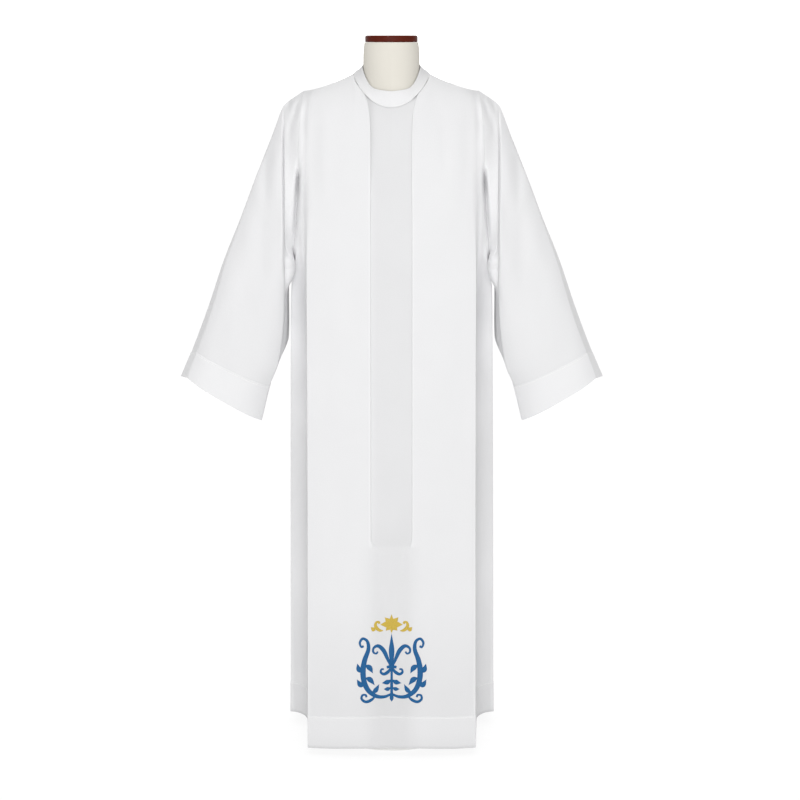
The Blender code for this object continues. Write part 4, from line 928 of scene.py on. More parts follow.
PANEL_UPS = spread((0.0, 0.0545, 9), (0.0545, 0.0610, 13), (0.0610, 0.33, 33), (0.33, 0.44, 20), (0.44, 1.0, 70),
                   (1.0, 1.9, 44), (1.9, 2.0, 9))
HEM_COLUMN = nearest(PANEL_UPS * (SHOULDER_START - HEM_FRONT), HEM_BAND - STITCH_LINE)
SLEEVE_ALONGS = spread((0.0, 0.09, 18), (0.09, 0.13, 22), (0.13, 0.40, 28), (0.40, 0.893, 44), (0.893, 0.912, 14),
                       (0.912, 1.0, 9))
FROM_CUFF = (1.0 - SLEEVE_ALONGS) / (1.0 - CUFF_START) * CUFF_BAND  # distance from the cuff's edge
CUFF_COLUMN = nearest(FROM_CUFF, CUFF_BAND - STITCH_LINE)

BAND_PLACES = 144  # round the neckband
PANEL_PLACES = 16  # columns of the front from the centre line to where the pleat's panel folds back
PLEAT_PLACES = 36  # and to just before the pleat's front fold
CREASE_PASSES = 90  # of the smoothing that rounds the pressed creases over the chest

# The body's side fold under the arm: heights, its y and its x, and heights and x of the sleeve's roll over it
BODY_FOLD = np.array(((0.93, 0.002, 0.2282), (1.00, 0.0, 0.2267), (1.04, -0.004, 0.2252), (1.07, -0.012, 0.2216),
                      (1.085, -0.020, 0.2192), (1.10, -0.032, 0.2168), (1.13, -0.046, 0.2140))).T
ROLL = np.array(((1.02, 0.2250), (1.05, 0.2200), (1.075, 0.2160), (1.09, 0.2132), (1.12, 0.2130), (1.15, 0.2175))).T
ROLL_CLEARANCE = 0.0026  # between the side fold and the roll
ROLL_FRONT, ROLL_FORWARD = -0.047, 0.009  # y of the roll's front, and how much further forward it is higher up
ROLL_LENGTH, ROLL_SWELL = 0.028, 0.006  # of the quarter ellipse from the sleeve's corner to the roll
ROLL_CORNER = 0.2350  # x of the sleeve's corner there


def rounded_creases(points, across):
    """The front with its pressed creases eased round where they fade out over the chest: each point moves
    towards the middle of its neighbours across the panel, CREASE_PASSES times over."""
    share = band(across[:, None], 0.34, 0.50, 0.94, 0.995)
    share = (share * ease(points[..., 2], 1.120, 1.330) * fade(PANEL_UPS, 1.88, 1.98))[..., None]
    for _ in range(CREASE_PASSES):
        middle = 0.5 * (points[:-2] + points[2:])
        points[1:-1] += 0.5 * share[1:-1] * (middle - points[1:-1])
    return points


def panel_wall(half, across, make, front):
    """Grid, normals and heights above the bottom edge of a whole panel, from the places of its right half.
    The seams keep their gap and their shared normals, and the folds fade out towards the side seam."""
    right = make(half[:, None] + 0.0 * PANEL_UPS, PANEL_UPS + 0.0 * half[:, None])
    right = rounded_creases(right, across) if front else right
    points = np.concatenate((right[::-1] * MIRROR, right[1:]))
    across = np.concatenate((across[::-1], across[1:]))[:, None]
    drape, turned_in = (front_drape, 1.0) if front else (back_drape, -1.0)
    hold = 1.0 - ease(across, WALL_FOOT, 0.97) * (1.0 - seam_hold(points[..., 2]))
    points[..., 1] += turned_in * drape(points[..., 0], points[..., 2]) * hold
    square = np.zeros(points.shape[:2], dtype=bool)
    square[[0, -1]] = PANEL_UPS <= UNDERARM_ROW
    square[:, -1:] = across >= NECK_POINT
    points[..., 1] -= turned_in * np.where(square, SEAM_GAP / 2.0, 0.0)
    normals = grid_normals(points, False) * turned_in
    normals[..., 1] = np.where(square, 0.0, normals[..., 1])
    normals = unit(normals)
    rows = PANEL_UPS >= UNDERARM_ROW
    normals[-1, rows] = armhole_mitre(armhole_loops(PANEL_UPS[rows], front))[1]
    normals[0, rows] = normals[-1, rows] * MIRROR
    return points, normals, points[..., 2] - points[:, :1, 2]


def front_wall():
    """Grid of the front: hidden pleat layers, front fold, face, pressed crease, side wall, side fold, seam."""
    face = spread((FOLD_ACROSS, 0.166, 5), (0.166, 0.585, 22), (0.585, 0.615, 6), (0.615, 0.735, 9),
                  (0.735, 0.92, 13), (0.92, 1.0, 12))
    pleat = spread((-1.0, -0.66, PANEL_PLACES), (-0.66, -0.50, 11), (-0.50, -0.10, 4), (-0.10, 0.0, 9))[:-1]
    places = np.concatenate((pleat, (face - FOLD_ACROSS) / (1.0 - FOLD_ACROSS)))
    return panel_wall(places, np.concatenate((0.0 * pleat, face)), front_panel, True)


def back_wall():
    """Grid of the back, its rows turned round so that its outer side comes out outside."""
    across = spread((0.0, NECK_POINT, 16), (NECK_POINT, 0.585, 18), (0.585, 0.615, 6), (0.615, 0.90, 16),
                    (0.90, 1.0, 8))
    return [grid[::-1] for grid in panel_wall(across, across, back_panel, False)]


def underarm_roll(points, along, loop):
    """The cloth under the arm leans on the body's side fold and hangs in front of it in a soft roll: a
    quarter of an ellipse from the sleeve's corner to the roll, and from there an even slope to the side fold."""
    x, y, z = points[..., 0], points[..., 1], points[..., 2]
    side_y, side_x = (np.interp(z, BODY_FOLD[0], places) for places in BODY_FOLD[1:])
    side_x = side_x + ROLL_CLEARANCE
    near_x = np.minimum(np.interp(z, *ROLL), side_x)
    roll_y = ROLL_FRONT - ROLL_FORWARD * ease(z, 1.090, 1.115)
    turn = np.clip((y - roll_y) / ROLL_LENGTH + 1.0, 0.0, 1.0) * math.pi / 2.0
    target = ROLL_CORNER + (near_x - ROLL_CORNER) * np.sin(turn) + (side_x - near_x) * ease(y, roll_y, side_y)
    share = band(loop, 0.86, 1.0, 1.55, 1.95) * band(along, 0.005, 0.045, 0.55, 0.74) * ease(z, 1.025, 1.080)
    share = share * ((loop > 0.5) & (loop < 2.0))
    points[..., 0] += share * np.minimum(target - x, 0.0)
    points[..., 1] -= share * ROLL_SWELL * np.sin(2.0 * turn)
    return points


def sleeve_wall(side):
    """Grid of a sleeve, a closed tube, and its distances from the cuff's edge; side is 1 for +X and -1 for -X.
    Folds push its front face back and its rear face forward, less and less round its corners. A tuck lies
    where the face laps over the head."""
    loops = spread((0.0, 0.04, 4), (0.04, 0.36, 14), (0.36, 0.94, 18), (0.94, 1.12, 13), (1.12, 1.40, 8),
                   (1.40, 1.94, 9), (1.94, 2.06, 5), (2.06, 2.96, 22), (2.96, 3.04, 4), (3.04, 3.96, 10),
                   (3.96, 4.0, 2))[:-1]
    along = SLEEVE_ALONGS + 0.0 * loops[:, None]
    loop = loops[:, None] + 0.0 * along
    points = sleeve(along, loop)
    x, z = points[..., 0] * side, points[..., 2]
    hold = 1.0 - (1.0 - seam_hold(z)) * fade(along, 0.0, 0.08)
    on_front = np.where(loop < 3.0, fade(loop, 1.0, 1.35), ease(loop, 3.4, 3.95))
    on_back = band(loop, 1.65, 2.0, 3.0, 3.5)
    tuck = TUCK_DEPTH * bell(along, TUCK_PLACE, TUCK_WIDTH) * band(loop, 0.02, 0.2, 0.92, 1.02)
    points[..., 1] += front_drape(x, z) * on_front * hold - back_drape(x, z) * on_back * hold + tuck
    points = underarm_roll(points, along, loop)
    normals = grid_normals(points, True)
    normals[:, 0] = armhole_mitre(loops)[1]
    if side < 0.0:
        points, normals = (points * MIRROR)[::-1], (normals * MIRROR)[::-1]
    return points, normals, FROM_CUFF + 0.0 * loops[:, None]


def below_neck(seam, run):
    """How far the panels' surface lies from each point of the neck seam, a share run of the way down from it."""
    across = np.linspace(0.0, NECK_POINT, 200)
    halves = []
    for levels, front in ((FRONT_LEVELS, True), (BACK_LEVELS, False)):
        seam_x = panel(levels, across, 2.0 + 0.0 * across, front)[:, 0]
        place = np.interp(np.abs(seam[:, :1]), seam_x, across) + 0.0 * run
        half = panel(levels, place, 2.0 - run, front) - panel(levels, place, 2.0 + 0.0 * run, front)
        half[..., 0] *= np.sign(seam[:, :1])
        halves.append(half)
    share = ease(seam[:, 1], -0.012, 0.012)[:, None, None]
    return halves[0] * (1.0 - share) + halves[1] * share


def neck_oval(angles, half_width, side_height, *ends):
    """A closed oval from its half width, the height of its sides, and (y, height) of its front and back."""
    quarter = np.abs(np.arcsin(np.sin(angles)))
    front, back = (np.stack(oval(quarter, half_width, *end, side_height), -1) for end in ends)
    points = np.where((np.cos(angles) >= 0.0)[:, None], front, back)
    points[:, 0] *= np.sign(np.sin(angles))
    return points


def band_wall():
    """Grid of the neckband: straight lines from just below the neck seam's oval up to the smaller oval of its
    top edge, lapped over the neck edges below."""
    angles = np.linspace(0.0, 2.0 * math.pi, BAND_PLACES, endpoint=False)
    low = neck_oval(angles, NECK_HALF_WIDTH, NECK_SIDE_HEIGHT, (NECK_FRONT, NECK_FRONT_HEIGHT),
                    (NECK_BACK, NECK_BACK_HEIGHT))
    high = neck_oval(angles, BAND_TOP_HALF_WIDTH, BAND_TOP_SIDE_HEIGHT, (BAND_TOP_FRONT, BAND_TOP_FRONT_HEIGHT),
                     (BAND_TOP_BACK, BAND_TOP_BACK_HEIGHT))
    high[:, 2] -= (np.cos(angles) >= 0.0) * BAND_DIP * np.sin(2.0 * np.abs(np.arcsin(np.sin(angles)))) ** 3
    part = spread((-BAND_LAP_PART, 0.0, 8), (0.0, 0.88, 12), (0.88, 1.0, 10))
    aside = np.abs(low[:, 1:2])
    lifted, lapped = ease(aside, 0.010, 0.024), ease(aside, 0.022, 0.066)
    above = np.maximum(part, 0.0)
    share = above + (1.0 - lapped) * BAND_RAISED * (np.clip(part / BAND_LAP_PART + 1.0, 0.0, 1.0) - above)
    low = low + unit(high - low) * BAND_SEAM_GAP * (1.0 - lapped)
    points = low[:, None, :] + (high - low)[:, None, :] * share[..., None]
    points += below_neck(low, BAND_LAP_RUN * lapped * np.maximum(-part, 0.0) / BAND_LAP_PART)
    normals = grid_normals(points, True)
    in_pleat = fade(np.abs(low[:, :1]), 0.042, 0.055) * (low[:, 1:2] < 0.0)
    rise = (BAND_LAP * lifted - PLEAT_DIP * in_pleat) * fade(part, 0.0, 0.55)
    rise = rise - BAND_WALL * np.sin(above * math.pi) * fade(np.abs(low[:, 1:2]), 0.025, 0.060)
    return points + normals * rise[..., None], normals, part


def hemmed(name, wall, depth, closed, **marks):
    """Shell of a piece with a turned-up hem, from its grid, normals and distances from the hem's edge."""
    robe = settings()[0]
    points, normals, distance = wall
    half = np.full(distance.shape, robe.thickness / 2.0)
    lift = hem_profile(distance, depth, robe.hem_lift)
    return shell(name, points, normals, half + lift, half, closed, made_once("white_plain_weave", white_cloth),
                 **marks)


class ALB_OT_front(bpy.types.Operator):
    """Make the front panel with its pleat, creases and turned-up hem"""
    bl_idname = "alb.front"
    bl_label = "Front"

    def execute(self, context):
        wall = front_wall()
        # The front's painted light and shade, read by its material
        piece = hemmed("robe_front", wall, HEM_BAND, False, recessed=recess(wall[0]))
        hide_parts("front")
        return {"FINISHED"}


class ALB_OT_back(bpy.types.Operator):
    """Make the back panel with its turned-up hem"""
    bl_idname = "alb.back"
    bl_label = "Back"

    def execute(self, context):
        wall = back_wall()
        piece = hemmed("robe_back", wall, HEM_BAND, False, doubled=on_hem(wall[2], HEM_BAND))
        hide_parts("back")
        return {"FINISHED"}


class ALB_OT_sleeves(bpy.types.Operator):
    """Make both sleeves with their turned-up cuffs"""
    bl_idname = "alb.sleeves"
    bl_label = "Sleeves"

    def execute(self, context):
        for node, side in (("sleeve_left", 1.0), ("sleeve_right", -1.0)):
            wall = sleeve_wall(side)
            # Painted light under the arm and on the sleeves' heads, and painted shade along the crest, at 0.6 of the
            # front's
            piece = hemmed("robe_" + node, wall, CUFF_BAND, True, doubled=on_hem(wall[2], CUFF_BAND),
                           recessed=-0.6 * painted_light_and_crest_shade(wall[0]))
            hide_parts(node)
        return {"FINISHED"}


class ALB_OT_neckband(bpy.types.Operator):
    """Make the round neckband of double cloth"""
    bl_idname = "alb.neckband"
    bl_label = "Neckband"

    def execute(self, context):
        points, normals, part = band_wall()
        # Painted light on the band's front, by the hem's colour, and painted shade on its rear half
        painted_lit_front = ease(-points[..., 1], 0.015, 0.075)
        from_edge = np.minimum(1.0 - part, part + BAND_LAP_PART)
        rounded = np.clip(BAND_EDGE - from_edge, 0.0, 1.0) / BAND_ROUNDING
        rounded = np.sqrt(np.clip(1.0 - rounded ** 2, 0.02, 1.0))
        grooves = sum(bell(part, place, BAND_GROOVE) for place in BAND_STITCHES)
        inside = np.broadcast_to(BAND_WALL / 2.0 * rounded, points.shape[:2])
        piece = shell("robe_neckband", points, normals, inside - STITCH_GROOVE * grooves, inside, True,
                      made_once("white_plain_weave", white_cloth), doubled=painted_lit_front,
                      recessed=BAND_REAR_LOSS * (1.0 - painted_lit_front))
        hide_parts("neckband")
        return {"FINISHED"}


# ---- Stitching ----

STITCH_SIDES = 6  # points round one stitch
# Rings along one stitch: place in half lengths, size and rise above the cloth in radii
STITCH_RINGS = np.array(((-1.0, 0.45, -0.6), (-0.72, 0.85, 0.25), (0.0, 1.0, 0.55), (0.72, 0.85, 0.25),
                         (1.0, 0.45, -0.6))).T


def stitch_run(wall, column, rise, closed):
    """Centres, ways and normals of stitches spaced evenly along one column of a wall, rise above its middle."""
    normals = wall[1][:, column]
    points = wall[0][:, column] + normals * rise
    if closed:
        points, normals = np.vstack((points, points[:1])), np.vstack((normals, normals[:1]))
    length = distances(points)
    count = int(length[-1] / settings()[0].stitch_pitch)
    at = (np.arange(count) + 0.5) * length[-1] / count
    centres, ahead, out = (np.stack([np.interp(places, length, values) for values in line.T], axis=1)
                           for places, line in ((at, points), (at + 0.0005, points), (at, normals)))
    return centres, unit(ahead - centres + 1e-12), unit(out)


def stitches(name, runs):
    """Small rounded bars, one a stitch: five rings of six points along the stitch, thinner and sunk into the
    cloth at both ends, closed by a six-sided face."""
    robe = settings()[0]
    centres, ways, normals = (np.concatenate(parts)[:, None, None, :] for parts in zip(*runs))
    ring_at = (STITCH_RINGS[0] * robe.stitch_length / 2.0)[:, None, None]
    ring_size, ring_rise = (STITCH_RINGS[1:] * robe.stitch_radius)[..., None]
    turn = np.arange(STITCH_SIDES) * 2.0 * math.pi / STITCH_SIDES
    rise, aside = ring_rise + ring_size * np.cos(turn), ring_size * np.sin(turn)
    points = (centres + ways * ring_at + normals * rise[..., None] + np.cross(ways, normals) * aside[..., None])
    index = np.arange(rise.size).reshape(rise.shape)
    offsets = (np.arange(len(centres)) * rise.size)[:, None, None]
    quads = (corners_of(np.hstack((index, index[:, :1])))[None] + offsets).reshape(-1, 4)
    caps = (np.stack((index[0, ::-1], index[-1]))[None] + offsets).reshape(-1, STITCH_SIDES)
    uvs = np.zeros((quads.size + caps.size, 2))
    piece = make_piece(name, points.reshape(-1, 3), quads.tolist() + caps.tolist(), uvs,
                       made_once("white_spun_thread", sewing_thread), 80.0)


class ALB_OT_stitching(bpy.types.Operator):
    """Sew the topstitching of the hem, the cuffs and the neckband"""
    bl_idname = "alb.stitching"
    bl_label = "Stitching"

    def execute(self, context):
        robe = settings()[0]
        rise = robe.thickness / 2.0 + robe.hem_lift - STITCH_GROOVE
        stitches("hem_topstitching", [stitch_run(wall, HEM_COLUMN, rise, False)
                                      for wall in (front_wall(), back_wall())])
        for name, side in (("left", 1.0), ("right", -1.0)):
            stitches("cuff_topstitching_" + name, [stitch_run(sleeve_wall(side), CUFF_COLUMN, rise, True)])
        wall = band_wall()
        rise = BAND_WALL / 2.0 - STITCH_GROOVE
        stitches("neckband_topstitching", [stitch_run(wall, nearest(wall[2], place), rise, True)
                                           for place in BAND_STITCHES])
        return {"FINISHED"}


# ---- Embroidery ----
# Strokes of satin stitch in millimetres from the middle of the motif: rows of (x, z, width). Those of the right
# half are mirrored to the left.

GOLD_MIDDLE = (
    ((0, 74, 0), (0, 88, 15.6), (0, 112, 0)), ((0, 90, 0), (0, 86, 13.1), (0, 68, 0)))
GOLD_PAIRS = (
    ((1, 88, 0), (10, 88.5, 14.9), (25.4, 88, 0)), ((1.5, 90, 0), (7, 96, 12.2), (15.5, 105, 0)),
    ((1.5, 86, 0), (6.5, 81, 11.3), (13, 74, 0)),
    ((18.8, 74, 1.3), (25.4, 74.5, 5.8), (32, 79, 7.7), (36.2, 87, 6.8), (33.8, 94, 5.4), (28.7, 94.5, 4.5),
     (27.3, 90.5, 5.8)), ((35.7, 76, 0), (40.4, 78, 9.9), (46.1, 84, 0)))
BLUE_MIDDLE = (
    ((0, -92, 0), (0, -84, 8.8), (0, -70, 6.2), (0, -52, 6.7), (0, -34, 5.3), (0, -8, 5.6)),
    ((0, -10, 2.6), (0, 10, 10.4), (0, 30, 12.4), (0, 48, 7.1), (0, 68, 0)),
    ((-11, -11, 6.2), (0, -9.6, 7.6), (11, -11, 6.2)))
BLUE_PAIRS = (
    ((3, -8, 3.1), (9, 8, 7.3), (18, 28, 9.8), (30, 39, 8), (40, 35, 5.6), (41, 25.5, 4.6), (34.5, 21.5, 4.2),
     (31, 26, 4.4)),
    ((2.5, -14, 4.5), (8, -22, 7.5), (17, -27, 6.9), (24, -23, 5.5), (23, -16, 4.5), (17.5, -15.5, 4.2)),
    ((1, -74, 5), (16, -80, 7.2), (34, -78, 8.9), (52, -64, 10.8), (62, -42, 12.1), (64, -16, 12.4), (60, 8, 11),
     (52, 31.8, 8.9), (54, 50.4, 6.9), (64, 57, 6), (71, 47.7, 5.4), (68, 37.8, 4.7), (62.5, 39.8, 5.4)),
    ((36, -77, 3.1), (46, -86, 6.9), (58, -90, 6.7), (67, -84, 5.7), (66, -75, 5), (58.5, -74, 4.7),
     (56.5, -79, 5)), ((60, -50, 0), (70, -50, 12.7), (78, -38, 0)), ((65, -22, 0), (73, -15, 12.1), (77, -1, 0)),
    ((62, -4, 0), (50, -10, 12.1), (42, -24, 0)), ((60, -34, 0), (49, -38, 12.1), (38, -52, 0)),
    ((46, -70, 0), (36, -64, 11), (28, -50, 0)), ((1.5, -40, 0), (10, -46, 11.3), (22, -48, 0)),
    ((1.5, -58, 0), (9, -62, 9.5), (18, -62, 0)))
ROWS_A_SPAN = 10  # rows of points between two rows of a stroke's table
NARROWEST, FULL_HEIGHT_FROM = 0.0004, 0.0040  # widths of a stroke


def cloth_at(x, z):
    """Outer skin of the front at (x, z) below the pleat, and its normal: the panel is as wide there as its
    crease, so the place across follows from x, and the shallow trough and the folds are added."""
    crease = smooth(FRONT_LEVELS[:, 0], FRONT_LEVELS[:, 2], z)

    def skin(x_here, z_here):
        across = np.abs(x_here) / crease * CREASE
        point = panel(FRONT_LEVELS, across, (z_here - HEM_FRONT) / (SHOULDER_START - HEM_FRONT), True)
        point[..., 0] = x_here
        point[..., 1] += trough(across) + front_drape(x_here, z_here)
        return point

    step = 0.0005
    way_x = skin(x + step, z) - skin(x - step, z)
    way_z = skin(x, z + step) - skin(x, z - step)
    return skin(x, z), unit(np.cross(way_x, way_z))


def satin(strokes, relief, thickness):
    """Points, faces and UVs of raised strokes. Each stroke is a smooth line through its rows with its width;
    across it the thread stands up as half an ellipse and closes just under the cloth's surface."""
    points, faces, uvs, start = [], [], [], 0
    over, under = np.linspace(-1.0, 1.0, 9), np.linspace(0.6, -0.6, 3)
    across = np.concatenate((over, under))
    rise = np.concatenate((np.sqrt(1.0 - over ** 2), np.full_like(under, -0.12)))
    for stroke in strokes:
        rows = np.array(stroke) / 1000.0
        knots = np.arange(len(rows), dtype=float)
        at = np.linspace(0.0, knots[-1], ROWS_A_SPAN * (len(rows) - 1) + 1)
        x, z, width = (hermite(knots, values, np.gradient(values), at) for values in rows.T)
        width = np.maximum(width, NARROWEST)[:, None]
        way = unit(np.stack((np.gradient(x), np.gradient(z)), axis=1))
        aside_x = x[:, None] - way[:, 1:] * across * width / 2.0
        aside_z = z[:, None] + way[:, :1] * across * width / 2.0
        skin, normal = cloth_at(aside_x, aside_z + MOTIF_CENTRE)
        height = relief * np.clip(width / FULL_HEIGHT_FROM, 0.25, 1.0) * rise + thickness / 2.0
        points.append((skin + normal * height[..., None]).reshape(-1, 3))
        index = np.arange(height.size).reshape(height.shape) + start
        start += height.size
        run = distances(np.stack((x, z), axis=1))[:, None]
        place = np.stack(np.broadcast_arrays(run, np.arange(len(across) + 1) * 0.001), axis=-1)
        faces += corners_of(np.hstack((index, index[:, :1]))).tolist() + [index[0].tolist(), index[-1, ::-1].tolist()]
        uvs += [corners_of(place).reshape(-1, 2), np.zeros((2 * len(across), 2))]
    return np.concatenate(points), faces, np.concatenate(uvs)


def mirrored_strokes(pairs):
    """The strokes and their mirror images over the middle line."""
    return tuple(pairs) + tuple(tuple((-x, z, width) for x, z, width in stroke) for stroke in pairs)


class ALB_OT_embroidery(bpy.types.Operator):
    """Embroider the star, the lily and its branches on the front above the hem"""
    bl_idname = "alb.embroidery"
    bl_label = "Embroidery"

    def execute(self, context):
        robe, embroidery = settings()[:2]
        for name, slot, colour, strokes in (
                ("embroidery_gold", "gold_thread", embroidery.gold, GOLD_MIDDLE + mirrored_strokes(GOLD_PAIRS)),
                ("embroidery_blue", "blue_thread", embroidery.blue, BLUE_MIDDLE + mirrored_strokes(BLUE_PAIRS))):
            points, faces, uvs = satin(strokes, embroidery.relief, robe.thickness)
            piece = make_piece(name, points, faces, uvs, satin_thread(slot + "_rayon", colour), 70.0)
        return {"FINISHED"}


# ---- Dress form and stand ----

def turned(name, profile, segments, material):
    """Round piece turned about the Z axis from (radius, height) pairs, whose first and last lie on the axis:
    point = (radius cos turn, radius sin turn, height)."""
    radius, height = np.array(profile).T
    turn = np.linspace(0.0, 2.0 * math.pi, segments, endpoint=False)
    grid = np.stack(np.broadcast_arrays(radius[None, 1:-1] * np.cos(turn)[:, None],
                                        radius[None, 1:-1] * np.sin(turn)[:, None], height[None, 1:-1]), axis=-1)
    index = np.arange(grid.shape[0] * grid.shape[1]).reshape(grid.shape[:2])
    quads = corners_of(np.vstack((index, index[:1])))
    faces = quads.tolist() + [index[::-1, 0].tolist(), index[:, -1].tolist()]
    uvs = np.zeros((len(quads) * 4 + 2 * segments, 2))
    return make_piece(name, grid.reshape(-1, 3), faces, uvs, material, 35.0)


def rounded_edge(radius, height, bevel, way):
    """Five points round an edge at (radius, height) with the given bevel; way is 1 for a lower edge, where the
    profile comes from the axis, and -1 for an upper one."""
    pairs = [(radius - bevel + bevel * math.sin(turn), height + way * bevel * (1.0 - math.cos(turn)))
             for turn in np.linspace(0.0, math.pi / 2.0, 5)]
    return pairs[::int(way)]


def torso_half(across, ups):
    """Right half of the torso: front, the plate that closes the armhole, and back; and the turn about Z that
    each row has at the neck."""
    halves = []
    for front, levels in ((True, FORM_FRONT_LEVELS), (False, FORM_BACK_LEVELS)):
        grid = panel(levels, across[:, None] + 0.0 * ups, ups + 0.0 * across[:, None], front, FORM_BOTTOM,
                     FORM_NECK_INSET)
        drop = FORM_DROP + FORM_NECK_DROP * np.clip(1.0 - across / NECK_POINT, 0.0, 1.0)
        grid[..., 2] -= drop[:, None] * np.clip(ups - 1.0, 0.0, 1.0)
        halves.append(grid)
    front, back = halves
    mix = np.linspace(0.0, 1.0, 10)[1:-1, None, None]
    plate = front[-1] * (1.0 - mix) + back[-1] * mix
    plate[..., 0] += FORM_PLATE_BULGE * (back[-1] - front[-1])[:, 1] * np.sin(mix[..., 0] * math.pi)
    on_neck = np.clip(across / NECK_POINT, 0.0, 1.0) * math.pi / 2.0
    angle = np.concatenate((on_neck, np.full(len(plate), math.pi / 2.0), math.pi - on_neck[::-1]))
    return np.concatenate((front, plate, back[::-1])), angle


def neck_half(angle):
    """Right half of the neck: the rings of its table, each two half ovals that meet at the sides."""
    at = np.linspace(0.0, len(NECK_RINGS) - 1.0, 25)
    half_width, front_y, back_y, front_z, back_z = (
        smooth(np.arange(float(len(NECK_RINGS))), values, at) for values in NECK_RINGS.T)
    sine, cosine = np.sin(angle)[:, None], np.cos(angle)[:, None]
    y = np.where(cosine > 0.0, front_y * cosine, -back_y * cosine)
    return np.stack((half_width * sine, y, front_z + (back_z - front_z) * (0.5 - 0.5 * cosine)), axis=-1)


def form_torso():
    """The torso with its neck, one closed surface: right half and mirrored left half, with an even slope
    between the torso's neck edge and the neck. Cells that have no width on the neck are left out."""
    across = spread((0.0, NECK_POINT, 12), (NECK_POINT, 1.0, 26))
    ups = spread((0.0, 1.0, 44), (1.0, 2.0, 26))
    right, angle = torso_half(across, ups)
    neck = neck_half(angle)
    part = np.linspace(0.0, 1.0, 6)[None, 1:-1, None]
    foot = right[:, -1:] * (1.0 - part) + neck[:, :1] * part
    right = np.concatenate((right, foot, neck), axis=1)
    points = np.concatenate((right, right[::-1][1:-1] * MIRROR))
    turn = np.concatenate((angle, -angle[::-1][1:-1], angle[:1]))
    rows, columns = points.shape[:2]
    index = np.arange(rows * columns).reshape(rows, columns)
    keep = np.ones((rows, columns - 1), dtype=bool)
    keep[:, len(ups) - 1:] = (np.abs(np.diff(turn)) > 1e-9)[:, None]
    quads, place = (corners_of(grid)[keep.ravel()] for grid in (
        np.vstack((index, index[:1])), lengths_of(np.vstack((points, points[:1])))))
    faces = quads.tolist() + [index[::-1, 0].tolist(), index[:, -1].tolist()]
    uvs = np.concatenate((place.reshape(-1, 2), np.zeros((2 * rows, 2))))
    piece = make_piece("form_torso", points.reshape(-1, 3), faces, uvs, linen(), 60.0)
    merged = bmesh.new()
    merged.from_mesh(piece.data)
    bmesh.ops.remove_doubles(merged, verts=merged.verts, dist=0.00002)
    bmesh.ops.recalc_face_normals(merged, faces=merged.faces)
    merged.to_mesh(piece.data)
    merged.free()
    return piece


class ALB_OT_form(bpy.types.Operator):
    """Make the linen-covered dress form and its turned neck cap"""
    bl_idname = "alb.form"
    bl_label = "Dress Form"

    def execute(self, context):
        torso = form_torso()
        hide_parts("dress_form")
        low = NECK_TOP_HEIGHT + FIT_GAP
        high = low + CAP_HEIGHT
        profile = [(0.0, low), *rounded_edge(CAP_RADIUS, low, CAP_EDGE, 1.0),
                   *rounded_edge(CAP_RADIUS, high, 2.4 * CAP_EDGE, -1.0), (0.0, high)]
        cap = turned("form_neck_cap", profile, 96, stained_wood())
        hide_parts("neck_cap")
        return {"FINISHED"}


class ALB_OT_stand(bpy.types.Operator):
    """Make the stand's tube and its round plate with the hub"""
    bl_idname = "alb.stand"
    bl_label = "Stand"

    def execute(self, context):
        steel = coated_steel()
        low, high = HUB_HEIGHT + FIT_GAP, FORM_BOTTOM - FIT_GAP
        tube = turned("stand_tube", [(0.0, low), (POLE_RADIUS, low), (POLE_RADIUS, high), (0.0, high)], 48, steel)
        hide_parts("stand_pole")
        fillet = [(HUB_RADIUS + HUB_FILLET * (1.0 - math.sin(turn)),
                   BASE_THICKNESS + HUB_FILLET * (1.0 - math.cos(turn))) for turn in np.linspace(0.0, math.pi / 2.0, 5)]
        profile = [(0.0, 0.0), *rounded_edge(BASE_RADIUS, 0.0, BASE_EDGE, 1.0),
                   *rounded_edge(BASE_RADIUS, BASE_THICKNESS, BASE_EDGE, -1.0), *fillet,
                   *rounded_edge(HUB_RADIUS, HUB_HEIGHT, BASE_EDGE, -1.0), (0.0, HUB_HEIGHT)]
        plate = turned("stand_plate", profile, 128, steel)
        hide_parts("stand_base")
        return {"FINISHED"}


# ---- Stage ----

FLOOR_REACH = 60.0
KEY_SIZE, KEY_PLACE, KEY_TILT = 2.4, (-0.05, -4.4, 2.1), 76.0  # the lamp
CAMERA_PLACE, CAMERA_TILT = (0.0188, -3.8, 1.591), 78.0
SENSOR_WIDTH, FOCAL_LENGTH = 36.0, 76.68


def placed(context, name, data, place, tilt):
    """A lamp or camera in the scene, tilted about X by degrees."""
    made = bpy.data.objects.new(name, data)
    made.location = place
    made.rotation_euler = (math.radians(tilt), 0.0, 0.0)
    context.scene.collection.objects.link(made)
    return made


def surroundings(context, brightness):
    """Soft light from all round: dim at both sides, a broad bright field in front, a bright ceiling and a
    white field behind, each eased in by its part of the direction."""
    world = bpy.data.worlds.new("soft_studio")
    world.use_nodes = True
    context.scene.world = world
    tree = world.node_tree
    way = add_node(tree, "TexCoord", {}).outputs["Generated"]
    parts = add_node(tree, "SeparateXYZ", {"Vector": way})
    total = STUDIO_DIM
    for axis, start, full, strength in STUDIO_FIELDS:
        ends = {"From Min": start, "From Max": full, "To Min": 0.0, "To Max": strength}
        field = add_node(tree, "MapRange", {"Value": parts.outputs[axis], **ends}, interpolation_type="SMOOTHSTEP")
        total = calculated(tree, "ADD", field.outputs["Result"], total)
    background = tree.nodes["Background"]
    background.inputs["Color"].default_value = (1.0, 1.0, 1.0, 1.0)
    tree.links.new(calculated(tree, "MULTIPLY", total, brightness), background.inputs["Strength"])


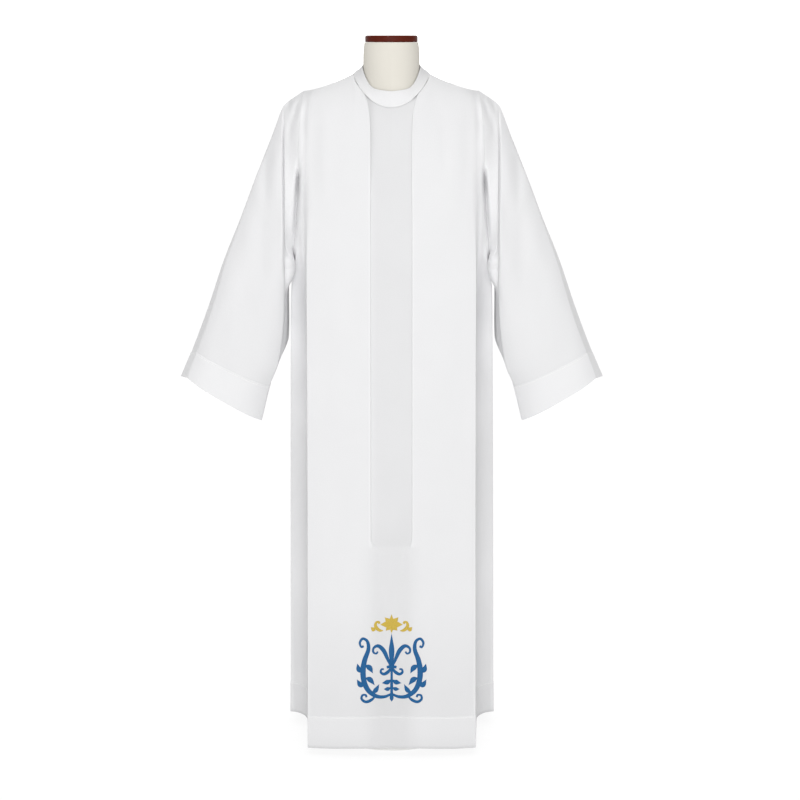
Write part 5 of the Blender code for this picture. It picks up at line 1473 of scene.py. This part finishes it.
class ALB_OT_stage(bpy.types.Operator):
    """Set up the pale floor, the soft light and the camera"""
    bl_idname = "alb.stage"
    bl_label = "Stage"

    def execute(self, context):
        stage = settings()[3]
        corners = FLOOR_REACH * np.array(((-1.0, -1.0, 0.0), (1.0, -1.0, 0.0), (1.0, 1.0, 0.0), (-1.0, 1.0, 0.0)))
        mesh = bpy.data.meshes.new("floor")
        mesh.from_pydata(corners, [], [(0, 1, 2, 3)])
        mesh.materials.append(paper_floor())
        floor = bpy.data.objects.new("floor", mesh)
        context.scene.collection.objects.link(floor)
        surroundings(context, stage.brightness)
        key = bpy.data.lights.new("key_light", "AREA")
        key.shape, key.size, key.energy = "DISK", KEY_SIZE, stage.key
        placed(context, "key_light", key, KEY_PLACE, KEY_TILT)
        camera = bpy.data.cameras.new("camera")
        camera.sensor_width, camera.lens = SENSOR_WIDTH, FOCAL_LENGTH
        context.scene.camera = placed(context, "camera", camera, CAMERA_PLACE, CAMERA_TILT)
        context.scene.view_settings.view_transform = "Standard"
        return {"FINISHED"}


# ---- Add-on ----

PIECE_OPERATORS = (ALB_OT_front, ALB_OT_back, ALB_OT_sleeves, ALB_OT_neckband, ALB_OT_stitching,
                   ALB_OT_embroidery, ALB_OT_form, ALB_OT_stand, ALB_OT_stage)


class ALB_PT_panel(bpy.types.Panel):
    """Settings and makers of the robe"""
    bl_idname = "ALB_PT_panel"
    bl_label = "Alb Robe"
    bl_space_type = "VIEW_3D"
    bl_region_type = "UI"
    bl_category = "Alb Robe"

    def draw(self, context):
        layout = self.layout
        for group in settings():
            box = layout.box()
            for name in group.__annotations__:
                box.prop(group, name)
        for operator in PIECE_OPERATORS:
            layout.operator(operator.bl_idname)


SETTING_GROUPS = {"alb_robe": RobeSettings, "alb_embroidery": EmbroiderySettings, "alb_form": FormSettings,
                  "alb_stage": StageSettings}


def register():
    """Register the settings, the operators and the panel."""
    for name, group in SETTING_GROUPS.items():
        bpy.utils.register_class(group)
        setattr(bpy.types.Scene, name, bpy.props.PointerProperty(type=group))
    for kind in PIECE_OPERATORS + (ALB_PT_panel,):
        bpy.utils.register_class(kind)


def unregister():
    """Take everything off again."""
    for kind in reversed(PIECE_OPERATORS + (ALB_PT_panel,)):
        bpy.utils.unregister_class(kind)
    for name, group in SETTING_GROUPS.items():
        delattr(bpy.types.Scene, name)
        bpy.utils.unregister_class(group)


def main():
    """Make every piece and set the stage."""
    register()
    for make in (bpy.ops.alb.front, bpy.ops.alb.back, bpy.ops.alb.sleeves, bpy.ops.alb.neckband,
                 bpy.ops.alb.stitching, bpy.ops.alb.embroidery, bpy.ops.alb.form, bpy.ops.alb.stand,
                 bpy.ops.alb.stage):
        make()


if __name__ == "__main__":
    main()
